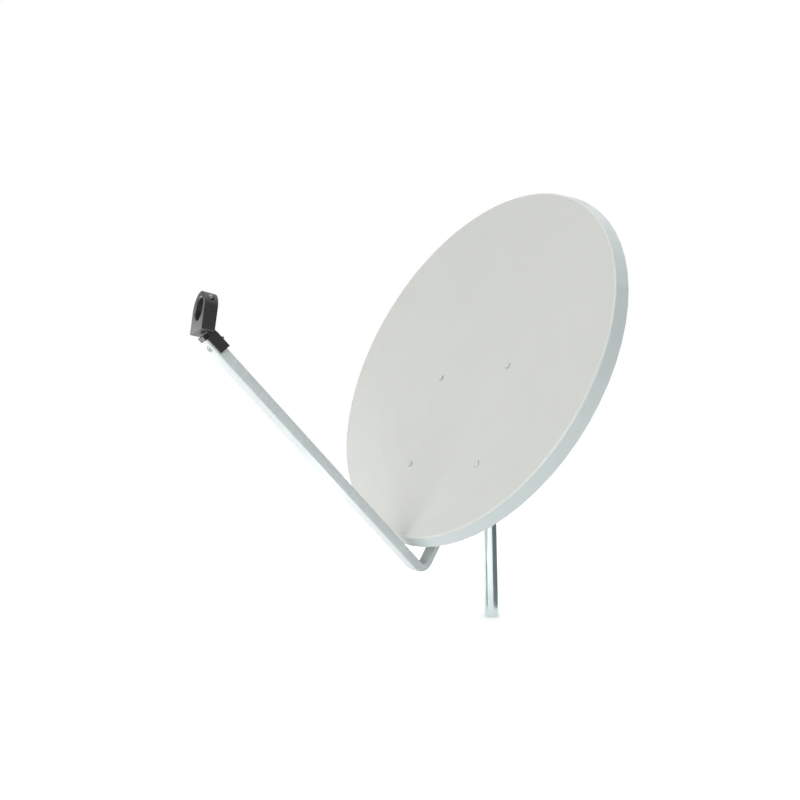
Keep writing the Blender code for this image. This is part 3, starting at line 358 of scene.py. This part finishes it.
class DishStage(bpy.types.PropertyGroup):
    """Camera, lights and floor."""

    place: FloatVectorProperty(
        name="Camera",
        description="Camera's place",
        default=(0.92697, -0.97054, 0.34742),
        subtype="TRANSLATION",
    )
    turn: FloatProperty(name="Turn", description="Heading from +Y", default=radians(52.54), subtype="ANGLE")
    pitch: FloatProperty(name="Pitch", description="Tilt up", default=radians(6.457), subtype="ANGLE")
    roll: FloatProperty(name="Roll", description="Roll", default=radians(-0.128), subtype="ANGLE")
    lens: FloatProperty(
        name="Lens", description="Focal length on a 36 mm sensor", default=25.104, unit="CAMERA"
    )
    shift: FloatProperty(name="Shift", description="Sideways shift of the picture", default=-0.00125)
    floor: colour_property("Floor", "Floor's colour", (0.93, 0.93, 0.93))
    card: colour_property("Card", "Grey card that the mast's right side mirrors", (0.20, 0.235, 0.245))
    pale: colour_property("Pale card", "Paler card that the mast's left side mirrors", (0.42, 0.47, 0.48))
    sky: FloatProperty(name="Room", description="Brightness of the pale room", default=0.40)
    key: power_property("Key", "Power of the key light", 26.0)
    glow: FloatProperty(name="Floor glow", description="Light the floor gives off by itself", default=0.2)
    low: power_property("Low", "Power of the small light under the rim", 0.5)
    side: power_property("Side", "Power of the panel that the holder mirrors", 2.2)
    top: FloatProperty(name="Top", description="Strength of the soft light overhead", default=2.4)


SETTINGS = {
    "dish_paint": DishPaint,
    "dish_zinc": DishZinc,
    "dish_plastic": DishPlastic,
    "dish_detail": DishDetail,
    "dish_stage": DishStage,
}


# ---------------------------------------------------------------- finishes


def stoved_paint(name, paint):
    """Satin paint with orange peel. Also gives the uneven patches and fine specks that its colour takes."""
    finish = Finish(name)
    cloud = finish.noise(paint.cloud, 3.0)
    peel = finish.noise(paint.peel, 1.5)
    speck = finish.noise(paint.peel / 2.5, 1.0)
    finish.set("Roughness", paint.roughness + cloud.swing(0.12) + peel.swing(0.08))
    finish.bump(peel, paint.peel_depth)
    finish.set("Coat Weight", paint.gloss)
    finish.set("Coat Roughness", 0.18)
    return finish, cloud, speck


def reflector_paint(paint):
    """The reflector's paint, with painted shade that makes the skirt darker and cooler, and rubbed a little
    thinner on the lip.
    """
    finish, cloud, speck = stoved_paint("reflector_paint", paint)
    front, middle, reach = rim_sizes()
    across = finish.along((1.0, 0.0, 0.0)) / reach.x
    rise = finish.along(RIM_UP, RIM_UP * middle) / reach.y
    round_rim = (across * across + rise * rise) ** 0.5
    # Painted shade: towards the rim's outer edge the colour turns to the darker, cooler skirt colour.
    skirt_shade = round_rim.step(*SKIRT_SHADE_REACH)
    behind = finish.along(-RIM_NORMAL, RIM_NORMAL * front)
    lip = (1.0 - behind.step(*LIP_DEPTH)) * round_rim.step(*LIP_REACH)
    rub = finish.noise(0.004, 3.0).step(0.50, 0.66) * lip
    tone = 1.0 + cloud.swing(0.05) + speck.swing(0.06) + lip * 0.03 + rub * 0.06
    finish.set("Base Color", finish.shade(finish.mix(skirt_shade, paint.face, paint.skirt_shade), tone))
    return finish


def rim_sizes():
    """How far forward the lip lies, the rim's middle along RIM_UP, and its half width and height."""
    points = own_points("reflector")
    front = (points @ np.array(RIM_NORMAL)).max()
    rise = points @ np.array(RIM_UP)
    low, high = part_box("reflector")
    reach = Vector(((high.x - low.x) / 2, (rise.max() - rise.min()) / 2))
    return front, (rise.max() + rise.min()) / 2, reach


def arm_paint(paint):
    """The arm's paint, rubbed a little along the tube's corners."""
    finish, _, speck = stoved_paint("arm_paint", paint)
    cloud = finish.noise(paint.cloud / 2, 3.0)
    half = (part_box("arm")[1].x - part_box("arm")[0].x) / 2
    corner = abs(finish.along((1.0, 0.0, 0.0))).step(half - 0.0016, half - 0.0004)
    rub = finish.noise(0.006, 4.0).step(0.52, 0.62) * corner
    tone = 1.0 + cloud.swing(0.06) + speck.swing(0.06) + rub * 0.10
    finish.set("Base Color", finish.shade(paint.arm, tone))
    return finish


def drawn_zinc(name, colour, roughness, spangle):
    """Bright zinc on drawn steel: long fine lines and soft patches."""
    finish = Finish(name)
    lines = finish.noise(0.0012, 3.0, finish.stretched((1.0, 1.0, 0.03)))
    patches = finish.cells(spangle, finish.stretched((1.0, 1.0, 0.45)))
    bloom = finish.noise(0.05, 3.0)
    tone = 0.97 + patches.swing(0.08) + lines.swing(0.10) + bloom.swing(0.06)
    finish.set("Base Color", finish.shade(colour, tone))
    finish.set("Metallic", 1.0)
    finish.set("Roughness", roughness + lines.swing(0.16) + patches.swing(0.06) + bloom.swing(0.10))
    finish.bump(lines + patches * 0.3, 0.00002)
    return finish


def spangled_zinc(zinc):
    """Hot-dip zinc on sheet: crystals of different brightness, and a dull bloom."""
    finish = Finish("galvanised_sheet")
    warped = finish.node("ShaderNodeVectorMath", {"operation": "ADD"}, {0: finish.place, 1: warp(finish)})
    crystals = finish.cells(zinc.spangle, warped)
    small = finish.cells(zinc.spangle / 3, warped)
    bloom = finish.noise(0.03, 4.0)
    tone = 0.92 + crystals.swing(0.22) + small.swing(0.10) + bloom.swing(0.18)
    finish.set("Base Color", finish.shade(zinc.sheet, tone))
    finish.set("Metallic", 1.0)
    finish.set("Roughness", 0.40 + crystals.swing(0.22) + bloom.swing(0.20))
    finish.bump(crystals + bloom, 0.00003)
    return finish


def warp(finish):
    """A small random shift that roughens the crystals' edges."""
    values = {"Vector": finish.place, "Scale": 300.0, "Detail": 2.0}
    return finish.shade(finish.node("ShaderNodeTexNoise", {}, values, "Color"), 0.003)


def plated_zinc(name, colour, roughness):
    """Zinc plating with a fine turned grain and faint stains."""
    finish = Finish(name)
    grain = finish.noise(0.0003, 2.0)
    stain = finish.noise(0.006, 4.0)
    tone = 0.97 + grain.swing(0.14) + stain.swing(0.16)
    finish.set("Base Color", finish.shade(colour, tone))
    finish.set("Metallic", 1.0)
    finish.set("Roughness", roughness + grain.swing(0.14) + stain.swing(0.16))
    finish.bump(grain, 0.00001)
    return finish


def moulded_plastic(name, colour, grain_size, roughness):
    """Glass-filled plastic with a spark-eroded grain and faint flow marks."""
    finish = Finish(name)
    grain = finish.noise(grain_size, 2.0)
    flow = finish.noise(0.012, 3.0, finish.stretched((1.0, 0.5, 1.6)))
    tone = 1.0 + grain.swing(0.35) + flow.swing(0.25)
    finish.set("Base Color", finish.shade(colour, tone))
    finish.set("Roughness", roughness + grain.swing(0.14) + flow.swing(0.10))
    finish.bump(grain + flow * 0.5, 0.00004)
    return finish


def dress(names, finish, edge=0.0):
    """Gives CAD nodes a finish and, if asked, rounds their sharp edges."""
    for name in names:
        node = NODES[name]
        node.data.materials.clear()
        node.data.materials.append(finish.material)
        if edge:
            soften(node, edge)


def soften(node, edge):
    """Rounds sharp edges with modifiers, which leave the node's own mesh alone."""
    weld = node.modifiers.new("Weld", "WELD")
    weld.merge_threshold = WELD
    flat = node.modifiers.new("Flat faces", "DECIMATE")
    flat.decimate_type = "DISSOLVE"
    flat.angle_limit = DISSOLVE_ANGLE
    bevel = node.modifiers.new("Edges", "BEVEL")
    bevel.width = edge
    bevel.segments = 2
    bevel.limit_method = "ANGLE"
    bevel.angle_limit = SMOOTH_ANGLE
    bevel.use_clamp_overlap = True
    normals = node.modifiers.new("Normals", "WEIGHTED_NORMAL")
    normals.keep_sharp = False


# ---------------------------------------------------------------- fasteners


def own_points(name):
    """A node's separate vertices."""
    return np.unique(np.array([vertex.co[:] for vertex in NODES[name].data.vertices]), axis=0)


def own_axes(name, long):
    """A turned node's axes as rows, its axis last and its wide end towards +Z, and its points along them.

    Gives the middle of the points and each one's reach from the axis too.
    """
    points = own_points(name)
    rows = np.linalg.svd(points - points.mean(0), full_matrices=False)[2]
    axis = rows[0] if long else rows[2]
    across = rows[1]
    for sign in (1.0, -1.0):
        axes = np.array([across, np.cross(sign * axis, across), sign * axis])
        local = points @ axes.T
        middle = (local.min(0) + local.max(0)) / 2
        reach = np.hypot(local[:, 0] - middle[0], local[:, 1] - middle[1])
        if local[reach > WIDEST * reach.max(), 2].mean() >= middle[2] - WELD:
            break
    return axes, local, middle, reach


def placement(axes, place):
    """The matrix that takes a piece's own axes to the frame's, with its origin at a local place."""
    made = Matrix(axes.T.tolist()).to_4x4()
    made.translation = Vector((place @ axes).tolist())
    return made


def loft(name, rings, closed):
    """A mesh through rings of points. Open lofts get a face at each end."""
    count = len(rings[0])
    points = [point for ring in rings for point in ring]
    faces = []
    last = len(rings) if closed else len(rings) - 1
    for ring in range(last):
        near, far = ring * count, (ring + 1) % len(rings) * count
        for index in range(count):
            after = (index + 1) % count
            faces.append((near + index, far + index, far + after, near + after))
    if not closed:
        faces.append(tuple(range(count)))
        faces.append(tuple(reversed(range(len(points) - count, len(points)))))
    mesh = bpy.data.meshes.new(name)
    mesh.from_pydata(points, [], faces)
    mesh.shade_smooth()
    mesh.set_sharp_from_angle(angle=SMOOTH_ANGLE)
    return mesh


def turned_ring(radius, height, sides):
    """A level ring of points. The radius is a number, or a function of the turn."""
    turns = [2 * pi * side / sides for side in range(sides)]
    spans = [radius(turn) if callable(radius) else radius for turn in turns]
    return [(span * cos(turn), span * sin(turn), height) for span, turn in zip(spans, turns)]


def threaded(radius, pitch, start, end, sides):
    """Rings of a right-hand thread that runs down from one height to another."""
    depth = THREAD_DEPTH * pitch
    rings = []
    steps = max(int((start - end) / pitch * RINGS_PER_TURN), RINGS_PER_TURN)
    for step in range(steps + 1):
        height = start + (end - start) * step / steps
        run_in = min(1.0, (start - height) / pitch)
        run_out = min(1.0, (height - end) / pitch * 1.5 + 0.15)

        def crest(turn, height=height, run_in=run_in, run_out=run_out):
            phase = (height / pitch - turn / (2 * pi)) % 1.0
            groove = max(0.0, min(1.0, 1.9 * (1.0 - abs(2 * phase - 1.0)) - 0.25))
            return radius - depth * groove * run_in - 0.5 * depth * (1.0 - run_out)

        rings.append(turned_ring(crest, height, sides))
    return rings


def cross_depth(x, y, size):
    """How deep a cross recess is at a place on a screw's head."""
    reach = hypot(x, y) / size
    slot = min(abs(x), abs(y)) / size
    return max(0.0, 1.0 - reach) ** 0.5 * max(0.0, min(1.0, (CROSS_SLOT - slot) / CROSS_SLOPE))


def head_rings(wide, tall, sides, recess):
    """Rings of a domed head, from its crown to its rim, with a cross recess if asked."""
    rings = []
    for step in range(1, HEAD_RINGS + 1):
        turn = HEAD_ARC * step / HEAD_RINGS
        ring = turned_ring(wide * sin(turn), tall * cos(turn), sides)
        if recess:
            depths = [cross_depth(x, y, wide * CROSS_REACH) for x, y, z in ring]
            ring = [(x, y, z - CROSS_DEPTH * tall * depth) for (x, y, z), depth in zip(ring, depths)]
        rings.append(ring)
    rings.append(turned_ring(wide, RIM_BAND * tall, sides))
    rings.append(turned_ring(wide * 0.97, 0.0, sides))
    return rings


def bolt_piece(name, detail, finish):
    """A domed bolt with a rolled thread, in place of a plain one."""
    axes, local, middle, reach = own_axes(name, True)
    wide = reach.max()
    low = local[:, 2].min()
    radius = reach[local[:, 2] < low + WELD].max()
    seat = local[reach > WIDEST * wide, 2].min()
    tall = local[:, 2].max() - seat
    length = seat - low
    pitch = max(2 * radius * detail.pitch, FINEST_PITCH)
    threaded_length = min(length * THREADED_SHARE, THREADED_RADII * radius)
    rings = head_rings(wide, tall, detail.sides, name in CROSS_HEADS)
    rings.append(turned_ring(radius, 0.0, detail.sides))
    rings.append(turned_ring(radius, threaded_length - length, detail.sides))
    end = -length + 0.0004
    rings += threaded(radius, pitch, threaded_length - length - 0.0002, end, detail.sides)
    rings.append(turned_ring(radius * 0.80, -length, detail.sides))
    place = placement(axes, np.array([middle[0], middle[1], seat]))
    add_piece(f"{name}_detailed", loft(name, rings, False), place, name, finish)


def hexagon(apothem):
    """The reach of a hexagon at each turn."""
    return lambda turn: apothem / cos((turn + pi / 6) % (pi / 3) - pi / 6)


def nut_piece(name, detail, finish):
    """A chamfered hexagon nut, with a flange where the plain one has it."""
    axes, local, middle, reach = own_axes(name, False)
    flanged = name.startswith(FLANGED)
    hole = reach.min()
    thread = (hole - NUT_LEAD_IN) * 2
    apothem = thread * NUT_ACROSS_FLATS / 2
    low, high = local[:, 2].min(), local[:, 2].max()
    tall = high - low
    corner = apothem / cos(pi / 6)
    bevel = (corner - CAP_SHARE * apothem) * tan(pi / 6)

    def capped(away):
        cone = CAP_SHARE * apothem + away / tan(pi / 6)
        return lambda turn: min(hexagon(apothem)(turn), cone)

    drops = [bevel * step / BEVEL_STEPS for step in range(BEVEL_STEPS + 1)]
    rings = [turned_ring(hole + NUT_LEAD_IN, 0.0, NUT_SIDES)]
    rings += [turned_ring(capped(drop), drop, NUT_SIDES) for drop in drops]
    if flanged:
        wide = reach.max()
        rings.append(turned_ring(hexagon(apothem), tall - FLANGE_SLOPE, NUT_SIDES))
        rings.append(turned_ring(wide - FLANGE_LEAD, tall - FLANGE_EDGE, NUT_SIDES))
        rings.append(turned_ring(wide, tall - FLANGE_RIM, NUT_SIDES))
        rings.append(turned_ring(wide, tall, NUT_SIDES))
    else:
        rings += [turned_ring(capped(drop), tall - drop, NUT_SIDES) for drop in reversed(drops)]
    rings.append(turned_ring(hole + NUT_LEAD_IN, tall, NUT_SIDES))
    rings.append(turned_ring(hole, tall - NUT_LEAD_IN, NUT_SIDES))
    rings.append(turned_ring(hole, NUT_LEAD_IN, NUT_SIDES))
    spin = 0.0
    if not flanged:
        widest = local[reach.argmax()] - middle
        spin = atan2(widest[1], widest[0]) - pi / 6
    place = placement(axes, np.array([middle[0], middle[1], low])) @ Matrix.Rotation(spin, 4, "Z")
    add_piece(f"{name}_detailed", loft(name, rings, True), place, name, finish)


def add_piece(name, mesh, place, node, finish, stands_for=True):
    """A piece that rides with a CAD node's body and may stand for the node."""
    piece = bpy.data.objects.new(name, mesh)
    bpy.context.scene.collection.objects.link(piece)
    mesh.transform(place)
    mesh.materials.append(finish.material)
    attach(piece, NODES[node]["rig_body"])
    if stands_for:
        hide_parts(node)


def u_bolt_thread(level, hand, detail, finish):
    """The thread on one leg of a U-bolt, past its nut."""
    nut_low, nut_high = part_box(f"u_bolt_nut_{level}_{hand}")
    bolt_low, bolt_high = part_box(f"u_bolt_{level}")
    radius = (bolt_high.z - bolt_low.z) / 2
    middle = (nut_low + nut_high) / 2
    length = nut_low.y - bolt_low.y
    rings = [turned_ring(radius - THREAD_PROUD, length, detail.sides)]
    rings += threaded(radius + THREAD_PROUD, U_BOLT_THREAD_PITCH, length, 0.0001, detail.sides)
    rings.append(turned_ring(radius * 0.9, -0.00005, detail.sides))
    place = Matrix.Translation((middle.x, bolt_low.y, middle.z)) @ Matrix.Rotation(-pi / 2, 4, "X")
    mesh = loft("thread", rings, False)
    add_piece(f"u_bolt_thread_{level}_{hand}", mesh, place, f"u_bolt_{level}", finish, stands_for=False)


# ---------------------------------------------------------------- operators


class DISH_OT_reflector(bpy.types.Operator):
    """Paint the reflector"""

    bl_idname = "dish.reflector"
    bl_label = "Reflector"

    def execute(self, context):
        dress(("reflector",), reflector_paint(context.scene.dish_paint))
        return {"FINISHED"}


class DISH_OT_arm(bpy.types.Operator):
    """Paint the feed arm and round its cut ends"""

    bl_idname = "dish.arm"
    bl_label = "Feed arm"

    def execute(self, context):
        scene = context.scene
        dress(("arm",), arm_paint(scene.dish_paint), scene.dish_detail.fine_edge)
        return {"FINISHED"}


class DISH_OT_holder(bpy.types.Operator):
    """Finish the LNB holder and the arm's plugs as moulded plastic"""

    bl_idname = "dish.holder"
    bl_label = "LNB holder and plugs"

    def execute(self, context):
        scene = context.scene
        plastic = scene.dish_plastic
        black = moulded_plastic("black_plastic", plastic.black, plastic.grain, 0.40)
        dress(("lnb_holder", *PLUG_NODES), black, scene.dish_detail.edge)
        return {"FINISHED"}


class DISH_OT_mast(bpy.types.Operator):
    """Finish the mast in bright zinc and its cap in grey plastic"""

    bl_idname = "dish.mast"
    bl_label = "Mast"

    def execute(self, context):
        scene = context.scene
        zinc = scene.dish_zinc
        plastic = scene.dish_plastic
        bright = drawn_zinc("mast_zinc", zinc.mast, 0.20, zinc.spangle)
        dress(("mast",), bright, scene.dish_detail.fine_edge)
        grey = moulded_plastic("cap_plastic", plastic.grey, plastic.grain, 0.50)
        dress(("mast_cap",), grey, scene.dish_detail.edge)
        return {"FINISHED"}


class DISH_OT_brackets(bpy.types.Operator):
    """Finish the rear bracket, the mast bracket and the saddles as galvanised steel"""

    bl_idname = "dish.brackets"
    bl_label = "Brackets"

    def execute(self, context):
        scene = context.scene
        galvanised = spangled_zinc(scene.dish_zinc)
        dress(("rear_bracket", "mast_bracket", *SADDLE_NODES), galvanised, scene.dish_detail.edge)
        return {"FINISHED"}


class DISH_OT_fasteners(bpy.types.Operator):
    """Put threaded bolts and chamfered nuts in place of the plain ones"""

    bl_idname = "dish.fasteners"
    bl_label = "Bolts, nuts and washers"

    def execute(self, context):
        scene = context.scene
        detail = scene.dish_detail
        zinc = scene.dish_zinc
        plated = plated_zinc("zinc_plating", zinc.plated, 0.34)
        dull = plated_zinc("dull_zinc", zinc.dull, 0.72)
        for name in BOLT_NODES + SCREW_NODES:
            bolt_piece(name, detail, dull if name.startswith("reflector") else plated)
        for name in NUT_NODES:
            nut_piece(name, detail, plated)
        dress(WASHER_NODES + SPACER_NODES, plated, detail.fine_edge)
        dress(U_BOLT_NODES, drawn_zinc("u_bolt_zinc", zinc.mast, 0.25, 0.004))
        for level in ("upper", "lower"):
            for hand in ("right", "left"):
                u_bolt_thread(level, hand, detail, plated)
        return {"FINISHED"}


class DISH_OT_stage(bpy.types.Operator):
    """Lay the floor, the lights and the camera"""

    bl_idname = "dish.stage"
    bl_label = "Stage"

    def execute(self, context):
        stage = context.scene.dish_stage
        lay_floor(stage)
        stand_card("right_card", stage, stage.card, 70.0, 0.20, 0.09)
        stand_card("left_card", stage, stage.pale, -78.0, 0.05, 0.10)
        light_room(context.scene, stage)
        add_camera(context.scene, stage)
        return {"FINISHED"}


def lay_floor(stage):
    """A wide pale floor just under the mast's foot."""
    finish = Finish("floor")
    patches = finish.noise(0.6, 2.0)
    finish.set("Base Color", finish.shade(stage.floor, 1.0 + patches.swing(0.01)))
    finish.set("Roughness", 0.9)
    finish.shader.inputs["Specular IOR Level"].default_value = 0.2
    finish.shader.inputs["Emission Color"].default_value = (1.0, 1.0, 1.0, 1.0)
    finish.shader.inputs["Emission Strength"].default_value = stage.glow
    rings = [turned_ring(FLOOR_RADIUS, height, FLOOR_SIDES) for height in (-FLOOR_THICKNESS, 0.0)]
    mesh = loft("floor", rings, False)
    floor = bpy.data.objects.new("floor", mesh)
    bpy.context.scene.collection.objects.link(floor)
    floor.location.z = CAD_BOX[0].z - FLOOR_GAP
    mesh.materials.append(finish.material)


def stand_card(name, stage, colour, turn, wide, away):
    """A card by the mast, this many degrees round to the camera's right. Only mirrors show it."""
    heading = stage.turn + radians(turn)
    toward = Vector((sin(heading), -cos(heading), 0.0))
    across = Vector((cos(heading), sin(heading), 0.0))
    near, far = (toward * away + across * (side * wide / 2) for side in (-1, 1))
    rise = Vector((0.0, 0.0, CARD_HEIGHT))
    mesh = bpy.data.meshes.new(name)
    mesh.from_pydata([near, far, far + rise, near + rise], [], [(0, 1, 2, 3)])
    finish = Finish(name)
    nap = finish.noise(0.01, 2.0)
    finish.set("Base Color", finish.shade(colour, 0.9 + nap * 0.2))
    finish.set("Roughness", 1.0)
    mesh.materials.append(finish.material)
    card = bpy.data.objects.new(name, mesh)
    bpy.context.scene.collection.objects.link(card)
    card.visible_camera = False
    card.visible_diffuse = False
    card.visible_shadow = False


def area_light(name, place, target, size, power):
    """A square soft light at a place, turned to a target."""
    light = bpy.data.lights.new(name, "AREA")
    light.shape = "SQUARE"
    light.size = size
    light.energy = power
    lamp = bpy.data.objects.new(name, light)
    bpy.context.scene.collection.objects.link(lamp)
    lamp.location = place
    lamp.rotation_mode = "QUATERNION"
    lamp.rotation_quaternion = (Vector(target) - Vector(place)).to_track_quat("-Z", "Y")
    lamp.visible_camera = False


def light_room(scene, stage):
    """A pale room with one side in shade, and its four lights."""
    scene.view_settings.view_transform = "Standard"
    world = bpy.data.worlds.new("room")
    scene.world = world
    world.use_nodes = True
    room = NodeMaker(world.node_tree, "Generated")
    background = room.tree.nodes["Background"]
    right = (cos(stage.turn), sin(stage.turn), 0.0)
    shade = room.along(right).step(0.4, 0.95)
    low = room.along((0.0, 0.0, 1.0)).step(-0.1, 0.5)
    dim = room.mix(shade, (1.0, 1.0, 1.0), ROOM_SHADE)
    lit = room.shade(dim, stage.sky * (0.85 + low * 0.25))
    seen = room.node("ShaderNodeLightPath", {}, {}, "Is Camera Ray")
    room.feed(background.inputs["Color"], room.mix(seen, lit, (1.0, 1.0, 1.0)))
    middle = (CAD_BOX[0] + CAD_BOX[1]) / 2
    left = -Vector(right)
    toward = Vector((sin(stage.turn), -cos(stage.turn), 0.0))
    key = middle + left * KEY_LEFT + toward * KEY_TOWARD + Vector((0, 0, KEY_RISE))
    area_light("key", key, middle, KEY_SIZE, stage.key)
    area_light("low", LOW_PLACE, LOW_TARGET, LOW_SIZE, stage.low)
    area_light("side", SIDE_PLACE, SIDE_TARGET, SIDE_SIZE, stage.side)
    top = bpy.data.lights.new("top", "SUN")
    top.angle = TOP_ANGLE
    top.energy = stage.top
    scene.collection.objects.link(bpy.data.objects.new("top", top))


def add_camera(scene, stage):
    """The camera, below the dish's middle and turned up a little."""
    level = Vector((-sin(stage.turn), cos(stage.turn), 0.0))
    ahead = level * cos(stage.pitch) + Vector((0.0, 0.0, sin(stage.pitch)))
    right = Vector((cos(stage.turn), sin(stage.turn), 0.0))
    up = right.cross(ahead)
    rolled = right * cos(stage.roll) + up * sin(stage.roll)
    upright = rolled.cross(ahead)
    camera = bpy.data.objects.new("camera", bpy.data.cameras.new("camera"))
    scene.collection.objects.link(camera)
    camera.matrix_world = Matrix((rolled, upright, -ahead)).transposed().to_4x4()
    camera.location = stage.place
    camera.data.sensor_width = 36.0
    camera.data.lens = stage.lens
    camera.data.shift_x = stage.shift
    camera.data.clip_start = 0.02
    camera.data.clip_end = 60.0
    scene.camera = camera


OPERATORS = (
    DISH_OT_reflector,
    DISH_OT_arm,
    DISH_OT_holder,
    DISH_OT_mast,
    DISH_OT_brackets,
    DISH_OT_fasteners,
    DISH_OT_stage,
)


class DISH_PT_panel(bpy.types.Panel):
    """Lists the dish's operators and settings"""

    bl_label = "Satellite Dish"
    bl_idname = "DISH_PT_panel"
    bl_space_type = "VIEW_3D"
    bl_region_type = "UI"
    bl_category = "Dish"

    def draw(self, context):
        for operator in OPERATORS:
            self.layout.operator(operator.bl_idname)
        for name, group in SETTINGS.items():
            box = self.layout.box()
            for setting in group.__annotations__:
                box.prop(getattr(context.scene, name), setting)


def register():
    """Registers the settings, the operators and the panel."""
    for name, group in SETTINGS.items():
        bpy.utils.register_class(group)
        setattr(bpy.types.Scene, name, PointerProperty(type=group))
    for made in (*OPERATORS, DISH_PT_panel):
        bpy.utils.register_class(made)


def unregister():
    """Takes away what register added."""
    for made in (DISH_PT_panel, *reversed(OPERATORS)):
        bpy.utils.unregister_class(made)
    for name, group in SETTINGS.items():
        delattr(bpy.types.Scene, name)
        bpy.utils.unregister_class(group)


def main():
    """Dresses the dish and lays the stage."""
    register()
    for operator in OPERATORS:
        group, name = operator.bl_idname.split(".")
        getattr(getattr(bpy.ops, group), name)()


if __name__ == "__main__":
    main()
